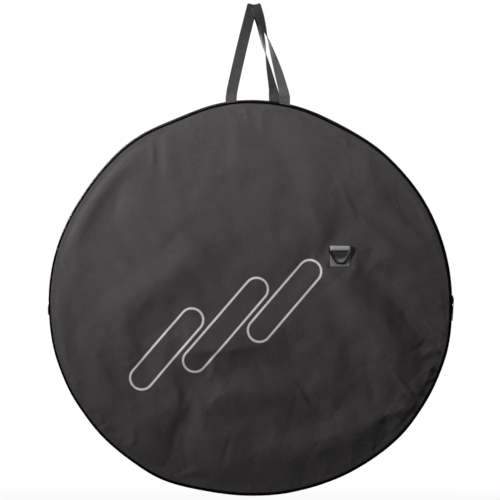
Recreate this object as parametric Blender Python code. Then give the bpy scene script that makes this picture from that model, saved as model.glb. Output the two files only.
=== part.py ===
"""Padded carrying bag for one bicycle wheel, hanging by its two webbing handles.

The bag is a flat round case: a back panel, a gusset and a front panel.
A zip runs over the top half of the gusset, and the upper half of the front
folds forward on a line just above the ends of the zip.

The origin is the point where the handles hang, +Z is up, +X is right and the
printed front faces -Y. All lengths are in metres.
"""

import math

import bmesh
import bpy
from mathutils import Matrix, Vector

# Clearance between pieces that touch
GAP = 0.0003

# Outline of the hanging bag, seen from the front
RIM_RADIUS = 0.3732
RIM_WIDEN_SHARE = 0.0096
RIM_SAG_SHARE = 0.0068
CENTRE_OFFSET = 0.0076
HANDLE_RISE = 0.1808

# Front and back walls
CASE_DEPTH = 0.0800
PANEL_CROWN = 0.0070
PANEL_FABRIC = 0.0012
PAD_EDGE = 0.0030
LINING_FABRIC = 0.0008
BINDING_WIDTH = 0.0037
FLAT_SHARE = 0.30
CROWN_POWER = 2.5
RING_SHARES = (0.30, 0.50, 0.70, 0.87, 1.00)
PIPING_RADIUS = 0.0025

# Gusset
GUSSET_FABRIC = 0.0020
GUSSET_TUCK = 0.0012
SIDE_BULGE = 0.0035
TOP_BULGE = 0.0028
BARREL_POWER = 3.0
STRIP_SHARES = (0.0, 0.28, 0.56, 0.80, 1.0)
BLEND_START_SHARE = 0.06
BLEND_END_SHARE = 0.30

# Zip
ZIP_SLOT_HALF = 0.0080
ZIP_END_DROP = 0.0125
TAPE_HALF_WIDTH = 0.0120
TAPE_FABRIC = 0.0006
TAPE_TAIL = 0.0060
COIL_WIDTH = 0.0030
COIL_HEIGHT = 0.0021
COIL_SPLIT = 0.0012
STOP_LENGTH = 0.0022
END_TAB_LENGTH = 0.0160
END_TAB_WIDTH = 0.0260
END_TAB_FABRIC = 0.0015

# Slider and its pull
SLIDER_LENGTH = 0.0160
SLIDER_PLATE = 0.0010
SLIDER_CLEARANCE = 0.0004
SLIDER_WEB = 0.0006
SLIDER_SHOULDER = 0.0065
SLIDER_WAIST = 0.0050
SLIDER_PARK_GAP = 0.0008
BRIDGE_SPAN = 0.0070
BRIDGE_LEG = 0.0012
BRIDGE_WIDTH = 0.0020
BRIDGE_BAR = 0.0011
PULL_THICKNESS = 0.0012
PULL_LENGTH = 0.0400
PULL_ARM = 0.0015
PULL_GRIP_WIDTH = 0.0070
PULL_CLEARANCE = 0.00035

# Fold of the front
FOLD_MARGIN = 0.0032
FOLD_SLIT = 0.0006

# Handles, of webbing
WEBBING_WIDTH = 0.0196
WEBBING_THICKNESS = 0.0013
FOOT_RISE = 0.0110
FOOT_INSET = 0.0015
FOLD_RADIUS = 0.0040
HANDLE_SPACING = 0.0010
HANDLE_BOW = 0.0045
FRONT_FOOT_LEFT = 0.0356
FRONT_FOOT_RIGHT = 0.0644
BACK_FOOT_LEFT = 0.0369
BACK_FOOT_RIGHT = 0.0454
LEG_TOP_LEFT = 0.0060
LEG_TOP_RIGHT = 0.0015
FRONT_TWIST_POWER = 0.64
BACK_TWIST_POWER = 1.16

# Ring tab on the front
TAB_RIGHT = 0.1690
TAB_RISE = 0.0840
TAB_WIDTH = 0.0370
TAB_HEIGHT = 0.0385
RING_WIRE_RADIUS = 0.0015
RING_SIDE_GAP = 0.0004
RING_DEPTH = 0.0295
RING_SIDE = 0.0120
RING_CORNER = 0.0025
SLEEVE_PLAY = 0.00045
SLEEVE_TURN_SHARE = 0.79

# Facets: parts of a full turn, and sides of round sections
PANEL_STEPS = 64
PAD_STEPS = 40
ZIP_STEPS = 60
LOWER_STEPS = 32
PIPING_SIDES = 6
RING_SIDES = 8


def rim_radius(angle):
    """Outer edge of the piping: the hanging bag is a little wide and full low down."""
    wide = RIM_WIDEN_SHARE * math.cos(2.0 * angle)
    full = RIM_SAG_SHARE * math.sin(3.0 * angle)
    return RIM_RADIUS * (1.0 + wide - full)


QUARTER_TURN = math.pi / 2.0
SIDE_CREST = rim_radius(0.0) + SIDE_BULGE
TOP_CREST = rim_radius(QUARTER_TURN) + TOP_BULGE
ZIP_DROP = (SIDE_CREST ** 2 - TOP_CREST ** 2) / (2.0 * TOP_CREST)
ZIP_RADIUS = TOP_CREST + ZIP_DROP
RIM_PLANE = CASE_DEPTH / 2.0
GUSSET_EDGE = RIM_PLANE - PIPING_RADIUS - GAP
CENTRE = Vector((-CENTRE_OFFSET, 0.0, -(HANDLE_RISE + rim_radius(QUARTER_TURN))))
ZIP_CENTRE = CENTRE - Vector((0.0, 0.0, ZIP_DROP))

# Heights of the fold and of the parked slider, from the centre of the disc
STOP_TOP = -ZIP_END_DROP + GAP + STOP_LENGTH
SLIDER_HEIGHT = STOP_TOP + SLIDER_PARK_GAP + SLIDER_LENGTH / 2.0
FOLD_HEIGHT = SLIDER_HEIGHT + SLIDER_LENGTH / 2.0 + FOLD_MARGIN

# Depths of the layers of a wall, from the middle plane outward
PANEL_INNER = RIM_PLANE - PANEL_FABRIC / 2.0
PAD_OUTER = PANEL_INNER - GAP
PAD_INNER = PAD_OUTER - PAD_EDGE
LINING_OUTER = PAD_INNER - GAP
LINING_INNER = LINING_OUTER - LINING_FABRIC
FOLD_AXIS_Y = -(PANEL_INNER + PANEL_FABRIC + PANEL_CROWN)

# How far the layers of a wall stay inside the rim
PANEL_MARGIN = 2.0 * PIPING_RADIUS + GAP
PAD_MARGIN = PANEL_MARGIN + BINDING_WIDTH + GAP
LINING_MARGIN = PANEL_MARGIN + GAP


def zip_circle(angle):
    """Distance from the disc centre to the circle that the zip follows."""
    across = ZIP_DROP * math.cos(angle)
    return math.sqrt(ZIP_RADIUS ** 2 - across ** 2) - ZIP_DROP * math.sin(angle)


def smooth(share):
    held = min(1.0, max(0.0, share))
    return held * held * (3.0 - 2.0 * held)


def crest_radius(angle):
    """Middle line of the gusset: the zip's circle above, the sagging outline below."""
    below = -math.sin(angle)
    share = smooth((below - BLEND_START_SHARE) / (BLEND_END_SHARE - BLEND_START_SHARE))
    return (1.0 - share) * zip_circle(angle) + share * (rim_radius(angle) + SIDE_BULGE)


def gusset_radius(angle, depth):
    """Outer face of the gusset at a depth from the middle plane."""
    edge = rim_radius(angle) - GUSSET_TUCK
    share = 1.0 - abs(depth / GUSSET_EDGE) ** BARREL_POWER
    return edge + (crest_radius(angle) - edge) * share


def deepest_tape():
    """How far the tape sits under the zip's circle to stay behind the gusset."""
    share = (TAPE_HALF_WIDTH / GUSSET_EDGE) ** BARREL_POWER
    bulge = max(
        crest_radius(angle) - rim_radius(angle) + GUSSET_TUCK
        for angle in spread(0.0, math.pi, ZIP_STEPS)
    )
    return GUSSET_FABRIC + bulge * share + GAP


def spread(first, last, steps):
    return [first + (last - first) * step / steps for step in range(steps + 1)]


def turn(steps):
    """Angles of a whole turn, starting at the right."""
    return [2.0 * math.pi * step / steps for step in range(steps)]


def at_height(height, radius):
    """Angle of a point of this radius at a height above the centre, on the right."""
    return math.asin(height / radius)


def on_disc(angle, radius, depth):
    return CENTRE + Vector((radius * math.cos(angle), depth, radius * math.sin(angle)))


TAPE_SINK = deepest_tape()
TAPE_RADIUS = ZIP_RADIUS - TAPE_SINK
COIL_INNER = COIL_SPLIT / 2.0
COIL_OUTER = COIL_INNER + COIL_WIDTH


def on_zip(angle, rise, depth):
    """A point of the zip at a rise above the outer face of its tape."""
    radius = TAPE_RADIUS + rise
    return ZIP_CENTRE + Vector((radius * math.cos(angle), depth, radius * math.sin(angle)))


def zip_angle(height):
    """Angle round the zip's own centre at a height above the disc centre."""
    return math.asin((height + ZIP_DROP) / TAPE_RADIUS)


def clear_scene():
    for thing in list(bpy.data.objects):
        bpy.data.objects.remove(thing, do_unlink=True)


def make_material(name, colour, roughness, metallic=0.0):
    material = bpy.data.materials.new(name)
    material.use_nodes = True
    shader = material.node_tree.nodes["Principled BSDF"]
    shader.inputs["Base Color"].default_value = (*colour, 1.0)
    shader.inputs["Roughness"].default_value = roughness
    shader.inputs["Metallic"].default_value = metallic
    return material


def make_materials():
    return {
        "panel_fabric": make_material("panel_fabric", (0.070, 0.062, 0.064), 0.85),
        "gusset_fabric": make_material("gusset_fabric", (0.060, 0.054, 0.056), 0.88),
        "padding": make_material("padding", (0.110, 0.110, 0.115), 0.95),
        "lining": make_material("lining", (0.040, 0.040, 0.043), 0.80),
        "piping": make_material("piping", (0.008, 0.008, 0.009), 0.55),
        "binding": make_material("binding", (0.010, 0.010, 0.011), 0.75),
        "webbing": make_material("webbing", (0.100, 0.092, 0.095), 0.80),
        "zip_tape": make_material("zip_tape", (0.008, 0.008, 0.009), 0.80),
        "zip_coil": make_material("zip_coil", (0.012, 0.012, 0.013), 0.45),
        "zip_metal": make_material("zip_metal", (0.020, 0.020, 0.022), 0.35, 0.8),
        "ring_steel": make_material("ring_steel", (0.015, 0.015, 0.016), 0.35, 0.6),
    }


def finish(name, mesh, material, origin, parent, round_piece):
    """Close a bmesh into an object whose origin lies at the point given."""
    bmesh.ops.recalc_face_normals(mesh, faces=mesh.faces)
    bmesh.ops.translate(mesh, verts=mesh.verts, vec=-origin)
    data = bpy.data.meshes.new(name)
    mesh.to_mesh(data)
    mesh.free()
    data.materials.append(material)
    if round_piece:
        data.shade_smooth()
        data.set_sharp_from_angle(angle=math.radians(40.0))
    piece = bpy.data.objects.new(name, data)
    bpy.context.collection.objects.link(piece)
    piece.parent = parent
    piece.location = origin - (parent.location if parent else Vector())
    return piece


def sweep(name, rings, material, closed=False, origin=None, parent=None, round_piece=True):
    """One closed body through rings of points that all have the same count."""
    mesh = bmesh.new()
    loops = [[mesh.verts.new(point) for point in ring] for ring in rings]
    pairs = list(zip(loops, loops[1:]))
    if closed:
        pairs.append((loops[-1], loops[0]))
    for here, there in pairs:
        for index in range(len(here)):
            after = (index + 1) % len(here)
            mesh.faces.new((here[index], here[after], there[after], there[index]))
    if not closed:
        mesh.faces.new(loops[0])
        mesh.faces.new(reversed(loops[-1]))
    return finish(name, mesh, material, origin or Vector(), parent, round_piece)


def cloth(name, rows, columns, point, present, material, origin=None, parent=None):
    """One closed body of a sheet of cells: point(row, column, side) places its corners.

    Cells that present(row, column) leaves out are open, with walls round them.
    """
    mesh = bmesh.new()
    corners = {}

    def corner(row, column, side):
        key = (row, column, side)
        if key not in corners:
            corners[key] = mesh.verts.new(point(row, column, side))
        return corners[key]

    def kept(row, column):
        inside = 0 <= row < rows and 0 <= column < columns
        return inside and present(row, column)

    for row in range(rows):
        for column in range(columns):
            if not kept(row, column):
                continue
            square = [(row, column), (row + 1, column), (row + 1, column + 1), (row, column + 1)]
            mesh.faces.new([corner(*spot, 0) for spot in square])
            mesh.faces.new([corner(*spot, 1) for spot in reversed(square)])
            neighbours = [(row, column - 1), (row + 1, column), (row, column + 1), (row - 1, column)]
            for side, neighbour in enumerate(neighbours):
                if kept(*neighbour):
                    continue
                start = square[side]
                end = square[(side + 1) % 4]
                wall = [corner(*end, 0), corner(*start, 0), corner(*start, 1), corner(*end, 1)]
                mesh.faces.new(wall)
    return finish(name, mesh, material, origin or Vector(), parent, True)


def crown(share):
    """Height of the padded dome over the rim: flat in the middle, then falling."""
    past = max(0.0, share - FLAT_SHARE) / (1.0 - FLAT_SHARE)
    return PANEL_CROWN * (1.0 - past ** CROWN_POWER)


def disc_plate(name, angles, hub, margin, shares, faces, material, parent=None, closed=True):
    """A round or half-round layer, as a fan of rings about its hub.

    faces(share) gives the two depths of the layer at a share of the radius.
    """
    mesh = bmesh.new()

    def place(angle, ring_share):
        edge = on_disc(angle, rim_radius(angle) - margin, 0.0)
        spot = hub + (edge - hub) * ring_share
        away = spot - CENTRE
        bearing = math.atan2(away.z, away.x)
        share = away.length / (rim_radius(bearing) - margin)
        return [mesh.verts.new(spot + Vector((0.0, depth, 0.0))) for depth in faces(min(1.0, share))]

    hub_share = (hub - CENTRE).length / rim_radius(QUARTER_TURN)
    hubs = [mesh.verts.new(hub + Vector((0.0, depth, 0.0))) for depth in faces(hub_share)]
    rays = [[place(angle, share) for share in shares] for angle in angles]
    pairs = list(zip(rays, rays[1:]))
    if closed:
        pairs.append((rays[-1], rays[0]))
    for here, there in pairs:
        for side in (0, 1):
            mesh.faces.new((hubs[side], here[0][side], there[0][side]))
            for ring in range(len(shares) - 1):
                near = (here[ring][side], here[ring + 1][side])
                far = (there[ring + 1][side], there[ring][side])
                mesh.faces.new(near + far)
        mesh.faces.new((here[-1][0], there[-1][0], there[-1][1], here[-1][1]))
    if not closed:
        for ray in (rays[0], rays[-1]):
            mesh.faces.new((hubs[0], ray[0][0], ray[0][1], hubs[1]))
            for ring in range(len(shares) - 1):
                mesh.faces.new((ray[ring][0], ray[ring + 1][0], ray[ring + 1][1], ray[ring][1]))
    return finish(name, mesh, material, Vector(), parent, True)


def shift_angles(steps, upper, margin):
    """Angles of the half of the rim above or below the fold."""
    slit = FOLD_SLIT / 2.0
    height = FOLD_HEIGHT + (slit if upper else -slit)
    start = at_height(height, rim_radius(0.0) - margin)
    if upper:
        return spread(start, math.pi - start, steps // 2)
    return spread(math.pi - start, 2.0 * math.pi + start, steps // 2)


def fold_hub(upper):
    slit = FOLD_SLIT / 2.0
    return CENTRE + Vector((0.0, 0.0, FOLD_HEIGHT + (slit if upper else -slit)))


def wall_layers(side):
    """The layers of one wall with their facets, margins, rings and depths."""
    def panel(share):
        return side * (PANEL_INNER + PANEL_FABRIC + crown(share)), side * (PANEL_INNER + crown(share))

    def padding(share):
        return side * (PAD_OUTER + crown(share)), side * PAD_INNER

    def lining(share):
        return side * LINING_OUTER, side * LINING_INNER

    return (
        ("panel", PANEL_STEPS, PANEL_MARGIN, RING_SHARES, panel, "panel_fabric"),
        ("padding", PAD_STEPS, PAD_MARGIN, RING_SHARES, padding, "padding"),
        ("lining", PAD_STEPS, LINING_MARGIN, (1.0,), lining, "lining"),
    )


def piping_rings(angles, side):
    rings = []
    for angle in angles:
        centre = on_disc(angle, rim_radius(angle) - PIPING_RADIUS, side * RIM_PLANE)
        outward = Vector((math.cos(angle), 0.0, math.sin(angle))) * PIPING_RADIUS
        across = Vector((0.0, PIPING_RADIUS, 0.0))
        ring = []
        for turned in turn(PIPING_SIDES):
            ring.append(centre + outward * math.cos(turned) + across * math.sin(turned))
        rings.append(ring)
    return rings


def binding_rings(angles, side):
    """The tape that binds the seam allowance, inside the wall's edge."""
    rings = []
    for angle in angles:
        outer = rim_radius(angle) - PANEL_MARGIN
        inner = outer - BINDING_WIDTH
        corners = ((outer, PAD_OUTER), (inner, PAD_OUTER), (inner, PAD_INNER), (outer, PAD_INNER))
        rings.append([on_disc(angle, radius, side * depth) for radius, depth in corners])
    return rings


def make_back_wall(materials):
    for layer, steps, margin, shares, faces, slot in wall_layers(1.0):
        disc_plate("back_" + layer, turn(steps), CENTRE, margin, shares, faces, materials[slot])
    sweep("back_piping", piping_rings(turn(PANEL_STEPS), 1.0), materials["piping"], closed=True)
    sweep("back_binding", binding_rings(turn(PAD_STEPS), 1.0), materials["binding"], closed=True)


def make_front_wall(materials, flap, upper):
    """The lower half stays on the case, the upper half is the flap."""
    ending = "_upper" if upper else "_lower"
    parent = flap if upper else None
    for layer, steps, margin, shares, faces, slot in wall_layers(-1.0):
        disc_plate(
            "front_" + layer + ending,
            shift_angles(steps, upper, margin),
            fold_hub(upper),
            margin,
            shares,
            faces,
            materials[slot],
            parent=parent,
            closed=False,
        )
    piping = piping_rings(shift_angles(PANEL_STEPS, upper, PIPING_RADIUS), -1.0)
    sweep("front_piping" + ending, piping, materials["piping"], parent=parent)
    binding = binding_rings(shift_angles(PAD_STEPS, upper, PANEL_MARGIN), -1.0)
    sweep("front_binding" + ending, binding, materials["binding"], parent=parent)


def strip_depths():
    """Depths of the gusset's columns, from the edge of the zip to the rim."""
    return [ZIP_SLOT_HALF + (GUSSET_EDGE - ZIP_SLOT_HALF) * share for share in STRIP_SHARES]


def gusset_point(angle, depth, side):
    radius = gusset_radius(angle, depth) - side * GUSSET_FABRIC
    return on_disc(angle, radius, depth)


def make_gusset_strip(name, side, height, material, parent=None):
    """One side of the gusset along the zip, from a height on the right to the left."""
    start = at_height(height, ZIP_RADIUS)
    angles = spread(start, math.pi - start, ZIP_STEPS)
    depths = [side * depth for depth in strip_depths()]

    def point(row, column, face):
        return gusset_point(angles[row], depths[column], face)

    cloth(
        name,
        len(angles) - 1,
        len(depths) - 1,
        point,
        lambda row, column: True,
        material,
        parent=parent,
    )


def make_lower_gusset(material):
    """The band round the lower half, with a front ear beside each end of the zip."""
    fold = at_height(FOLD_HEIGHT - FOLD_SLIT / 2.0, ZIP_RADIUS)
    end = at_height(-ZIP_END_DROP, ZIP_RADIUS)
    lower = spread(math.pi - end, 2.0 * math.pi + end, LOWER_STEPS)
    angles = spread(math.pi - fold, math.pi - end, 2)[:-1] + lower
    angles += spread(2.0 * math.pi + end, 2.0 * math.pi + fold, 2)[1:]
    ear_rows = (0, 1, len(angles) - 3, len(angles) - 2)
    depths = [-depth for depth in reversed(strip_depths())] + strip_depths()
    front_columns = len(STRIP_SHARES) - 1

    def point(row, column, face):
        return gusset_point(angles[row], depths[column], face)

    def present(row, column):
        return row not in ear_rows or column < front_columns

    cloth("lower_gusset", len(angles) - 1, len(depths) - 1, point, present, material)


def make_gussets(materials, flap):
    fabric = materials["gusset_fabric"]
    make_gusset_strip("back_gusset_strip", 1.0, -ZIP_END_DROP + GAP, fabric)
    make_gusset_strip("front_gusset_strip", -1.0, FOLD_HEIGHT + FOLD_SLIT / 2.0, fabric, flap)
    make_lower_gusset(fabric)


def make_back_tape(material):
    """Tape on the case: the whole back half, and the front half below the fold."""
    tail = zip_angle(-ZIP_END_DROP - TAPE_TAIL)
    end = zip_angle(-ZIP_END_DROP)
    fold = zip_angle(FOLD_HEIGHT - FOLD_SLIT / 2.0)
    rising = [tail] + spread(end, fold, 2)
    over = spread(fold, math.pi - fold, ZIP_STEPS)[1:-1]
    angles = rising + over + [math.pi - angle for angle in reversed(rising)]
    depths = (-TAPE_HALF_WIDTH, -COIL_INNER, COIL_INNER, TAPE_HALF_WIDTH)
    last = len(angles) - 2

    def point(row, column, side):
        return on_zip(angles[row], -side * TAPE_FABRIC, depths[column])

    def present(row, column):
        near_end = min(row, last - row)
        return column == 2 or near_end == 0 or (column == 0 and near_end < 3)

    cloth("zip_tape_back", len(angles) - 1, len(depths) - 1, point, present, material)


def make_front_tape(material, flap):
    fold = zip_angle(FOLD_HEIGHT + FOLD_SLIT / 2.0)
    angles = spread(fold, math.pi - fold, ZIP_STEPS)
    depths = (-TAPE_HALF_WIDTH, -COIL_INNER)

    def point(row, column, side):
        return on_zip(angles[row], -side * TAPE_FABRIC, depths[column])

    cloth(
        "zip_tape_front",
        len(angles) - 1,
        1,
        point,
        lambda row, column: True,
        material,
        parent=flap,
    )


def coil_section(side):
    """Rounded bead of one row of coil, as depth and rise."""
    low = GAP
    high = GAP + COIL_HEIGHT
    middle = (low + high) / 2.0
    shoulder = COIL_WIDTH / 4.0
    outline = (
        (COIL_INNER, middle),
        (COIL_INNER + shoulder, low),
        (COIL_OUTER - shoulder, low),
        (COIL_OUTER, middle),
        (COIL_OUTER - shoulder, high),
        (COIL_INNER + shoulder, high),
    )
    return [(side * depth, rise) for depth, rise in outline]


def make_coil(name, side, height, material, parent=None):
    start = zip_angle(height)
    rings = []
    for angle in spread(start, math.pi - start, ZIP_STEPS):
        rings.append([on_zip(angle, rise, depth) for depth, rise in coil_section(side)])
    sweep(name, rings, material, parent=parent)


def make_stop(name, left, material):
    """End stop across both rows, with the front row's last stretch up to the fold."""
    heights = (
        -ZIP_END_DROP + GAP,
        STOP_TOP,
        (STOP_TOP + FOLD_HEIGHT) / 2.0,
        FOLD_HEIGHT - FOLD_SLIT / 2.0,
    )
    depths = (-COIL_OUTER, -COIL_INNER, COIL_INNER, COIL_OUTER)

    def point(row, column, side):
        angle = zip_angle(heights[row])
        if left:
            angle = math.pi - angle
        return on_zip(angle, GAP + (1.0 - side) * COIL_HEIGHT, depths[column])

    def present(row, column):
        return row == 0 or column == 0

    cloth(name, len(heights) - 1, len(depths) - 1, point, present, material)


def make_end_tab(name, left, material):
    """Folded fabric tab sewn over the end of the zip."""
    top = -ZIP_END_DROP - GAP
    heights = (top - END_TAB_LENGTH, top - END_TAB_LENGTH / 2.0, top)
    depths = (-END_TAB_WIDTH / 2.0, 0.0, END_TAB_WIDTH / 2.0)

    def point(row, column, side):
        angle = at_height(heights[row], ZIP_RADIUS)
        if left:
            angle = math.pi - angle
        radius = crest_radius(angle) + GAP + (1.0 - side) * END_TAB_FABRIC
        return on_disc(angle, radius, depths[column])

    cloth(name, 2, 2, point, lambda row, column: True, material)


def make_zip(materials, flap):
    make_back_tape(materials["zip_tape"])
    make_front_tape(materials["zip_tape"], flap)
    make_coil("zip_coil_back", 1.0, STOP_TOP + GAP, materials["zip_coil"])
    make_coil("zip_coil_front", -1.0, FOLD_HEIGHT + FOLD_SLIT / 2.0, materials["zip_coil"], flap)
    for ending, left in (("_left", True), ("_right", False)):
        make_stop("zip_stop" + ending, left, materials["zip_coil"])
        make_end_tab("zip_end_tab" + ending, left, materials["binding"])


def slider_frame():
    """Place of the parked slider: its angle, travel direction and outward direction."""
    angle = zip_angle(SLIDER_HEIGHT)
    outward = Vector((math.cos(angle), 0.0, math.sin(angle)))
    travel = Vector((-math.sin(angle), 0.0, math.cos(angle)))
    return angle, travel, outward


def on_slider(along, depth, rise):
    angle, travel, outward = slider_frame()
    return on_zip(angle, rise, depth) + travel * along


COIL_TOP = GAP + COIL_HEIGHT
SLIDER_ROOF = COIL_TOP + SLIDER_CLEARANCE
SLIDER_TOP = SLIDER_ROOF + SLIDER_PLATE
SLIDER_FLOOR = -TAPE_FABRIC - SLIDER_CLEARANCE
PULL_RISE = SLIDER_TOP + PULL_CLEARANCE + PULL_THICKNESS / 2.0


def slider_section(half_width):
    """Two plates on a web, the upper one with flanges down the sides of the coil."""
    bottom = SLIDER_FLOOR - SLIDER_PLATE
    flange = COIL_OUTER + SLIDER_CLEARANCE
    web = SLIDER_WEB / 2.0
    right = (
        (half_width, SLIDER_TOP),
        (half_width, SLIDER_CLEARANCE),
        (flange, SLIDER_CLEARANCE),
        (flange, SLIDER_ROOF),
        (web, SLIDER_ROOF),
        (web, SLIDER_FLOOR),
        (half_width, SLIDER_FLOOR),
        (half_width, bottom),
    )
    return list(right) + [(-depth, rise) for depth, rise in reversed(right)]


def bridge_rings():
    """The arch over the slider that the pull hangs on."""
    half = BRIDGE_SPAN / 2.0
    sunk = SLIDER_TOP - SLIDER_PLATE / 2.0
    under = SLIDER_TOP + PULL_THICKNESS + 2.0 * PULL_CLEARANCE
    over = under + BRIDGE_BAR
    bevel = BRIDGE_LEG / 2.0
    inner = ((-half, sunk), (-half, under - bevel), (-half + bevel, under))
    inner += ((half - bevel, under), (half, under - bevel), (half, sunk))
    out = half + BRIDGE_LEG
    outer = ((-out, sunk), (-out, over - bevel), (-out + bevel, over))
    outer += ((out - bevel, over), (out, over - bevel), (out, sunk))
    width = BRIDGE_WIDTH / 2.0
    rings = []
    for near, far in zip(inner, outer):
        ring = [on_slider(near[0], -width, near[1]), on_slider(near[0], width, near[1])]
        ring += [on_slider(far[0], width, far[1]), on_slider(far[0], -width, far[1])]
        rings.append(ring)
    return rings


def make_slider(materials, travel_pivot):
    reach = SLIDER_LENGTH / 2.0
    widths = (
        (-reach, SLIDER_WAIST),
        (0.0, SLIDER_WAIST),
        (reach / 2.0, SLIDER_SHOULDER),
        (reach, SLIDER_WAIST),
    )
    rings = []
    for along, half_width in widths:
        rings.append([on_slider(along, depth, rise) for depth, rise in slider_section(half_width)])
    origin = travel_pivot.location
    slider = sweep("zip_slider", rings, materials["zip_metal"], origin=origin, parent=travel_pivot)
    arch = sweep("bridge_shape", bridge_rings(), materials["zip_metal"], origin=origin)
    arch.parent = travel_pivot
    arch.location = Vector()
    arch.hide_render = True
    arch.display_type = "WIRE"
    joined = slider.modifiers.new("bridge", "BOOLEAN")
    joined.operation = "UNION"
    joined.solver = "EXACT"
    joined.object = arch


def make_pull(materials, travel_pivot):
    """Flat pull with a slot whose cross bar lies under the bridge."""
    bar = PULL_THICKNESS / 2.0
    slot_end = BRIDGE_SPAN / 2.0 + BRIDGE_LEG + PULL_CLEARANCE
    inner = BRIDGE_WIDTH / 2.0 + PULL_CLEARANCE
    outer = inner + PULL_ARM
    grip = PULL_GRIP_WIDTH / 2.0
    rows = (
        (bar, outer - bar),
        (-bar, outer),
        (-slot_end, outer),
        (-slot_end - PULL_ARM, outer),
        (-slot_end - PULL_ARM - grip, grip),
        (-PULL_LENGTH + bar, grip),
        (-PULL_LENGTH, grip - bar),
    )

    def point(row, column, side):
        along, half_width = rows[row]
        depth = (-half_width, -inner, inner, half_width)[column]
        return on_slider(along, depth, PULL_RISE + (1.0 - 2.0 * side) * PULL_THICKNESS / 2.0)

    cloth(
        "zip_pull",
        len(rows) - 1,
        3,
        point,
        lambda row, column: (row, column) != (1, 1),
        materials["zip_metal"],
        origin=on_slider(0.0, 0.0, PULL_RISE),
        parent=travel_pivot,
    )


def rim_top(across):
    """Height of the rim's outer edge at a distance right of the disc centre."""
    bearing = QUARTER_TURN
    for _ in range(4):
        bearing = math.acos(across / rim_radius(bearing))
    return CENTRE.z + rim_radius(bearing) * math.sin(bearing)


FOOT_TOP = -HANDLE_RISE + FOOT_RISE
FOOT_OUTER = RIM_PLANE - FOOT_INSET


def make_foot(name, side, across, material, parent):
    """Doubled end of a handle, standing in the seam behind the piping."""
    half = WEBBING_WIDTH / 2.0
    rings = []
    for offset in (-half, 0.0, half):
        bottom = rim_top(across + offset) + GAP
        column = CENTRE.x + across + offset
        ring = []
        for depth, height in (
            (FOOT_OUTER, bottom),
            (FOOT_OUTER, FOOT_TOP),
            (FOOT_OUTER - 2.0 * WEBBING_THICKNESS, FOOT_TOP),
            (FOOT_OUTER - 2.0 * WEBBING_THICKNESS, bottom),
        ):
            ring.append(Vector((column, side * depth, height)))
        rings.append(ring)
    sweep(name, rings, material, parent=parent, round_piece=False)


def leg_point(foot, top, bow, share):
    """A point of a leg: share 0 at its foot, 1 at the fold, bowed sideways between."""
    point = foot.lerp(top, share)
    point.x += bow * 4.0 * share * (1.0 - share)
    return point


def strap_ring(centre, width, normal):
    across = width * (WEBBING_WIDTH / 2.0)
    thick = normal * (WEBBING_THICKNESS / 2.0)
    return [centre - across - thick, centre + across - thick, centre + across + thick, centre - across + thick]


def handle_rings(side, left_foot, right_foot, twist_power):
    """Left leg up, over the hook toward the outside, and down the turned right leg."""
    half_thick = WEBBING_THICKNESS / 2.0
    inner = HANDLE_SPACING / 2.0 + half_thick
    foot_depth = FOOT_OUTER - half_thick
    fold_low = -FOLD_RADIUS - half_thick
    start = FOOT_TOP + GAP
    left_bottom = Vector((CENTRE.x - left_foot, side * foot_depth, start))
    right_bottom = Vector((CENTRE.x + right_foot, side * foot_depth, start))
    left_top = Vector((-LEG_TOP_LEFT, side * inner, fold_low))
    right_top = Vector((LEG_TOP_RIGHT, side * (inner + 2.0 * FOLD_RADIUS), fold_low))
    rings = []
    for share in spread(0.0, 1.0, 7):
        centre = leg_point(left_bottom, left_top, -HANDLE_BOW, share)
        rings.append(strap_ring(centre, Vector((1.0, 0.0, 0.0)), Vector((0.0, -side, 0.0))))
    fold_centre = (left_top + right_top) / 2.0
    drift = (right_top.x - left_top.x) / 2.0
    for angle in spread(0.0, math.pi, 6)[1:-1]:
        away = Vector((0.0, -side * math.cos(angle), math.sin(angle)))
        centre = fold_centre + away * FOLD_RADIUS - Vector((drift * math.cos(angle), 0.0, 0.0))
        rings.append(strap_ring(centre, Vector((1.0, 0.0, 0.0)), away))
    for share in spread(0.0, 1.0, 16):
        down = share ** (1.0 / min(1.0, twist_power))
        twist = math.pi * down ** twist_power
        centre = leg_point(right_bottom, right_top, HANDLE_BOW, 1.0 - down)
        width = Vector((math.cos(twist), -side * math.sin(twist), 0.0))
        normal = Vector((math.sin(twist), side * math.cos(twist), 0.0))
        rings.append(strap_ring(centre, width, normal))
    return rings


def make_handle(prefix, side, left_foot, right_foot, twist_power, materials, parent):
    webbing = materials["webbing"]
    make_foot(prefix + "_handle_foot_left", side, -left_foot, webbing, parent)
    make_foot(prefix + "_handle_foot_right", side, right_foot, webbing, parent)
    rings = handle_rings(side, left_foot, right_foot, twist_power)
    pivot = Vector((0.0, side * FOOT_OUTER, FOOT_TOP))
    sweep(prefix + "_handle", rings, webbing, origin=pivot, parent=parent)


def make_handles(materials, flap):
    make_handle("front", -1.0, FRONT_FOOT_LEFT, FRONT_FOOT_RIGHT, FRONT_TWIST_POWER, materials, flap)
    make_handle("back", 1.0, BACK_FOOT_LEFT, BACK_FOOT_RIGHT, BACK_TWIST_POWER, materials, None)


def tab_plane():
    """Depth of the tab's back, just in front of the highest panel behind it."""
    near = Vector((TAB_RIGHT - TAB_WIDTH / 2.0, 0.0, TAB_RISE - TAB_HEIGHT / 2.0))
    share = near.length / (RIM_RADIUS - PANEL_MARGIN)
    return -(PANEL_INNER + PANEL_FABRIC + crown(share) + GAP)


SLEEVE_RADIUS = RING_WIRE_RADIUS + SLEEVE_PLAY
BAR_Y = tab_plane() - WEBBING_THICKNESS - SLEEVE_RADIUS
BAR_RISE = TAB_RISE + TAB_HEIGHT / 2.0 - SLEEVE_RADIUS - WEBBING_THICKNESS
BAR_CENTRE = CENTRE + Vector((TAB_RIGHT, BAR_Y, BAR_RISE))


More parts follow.
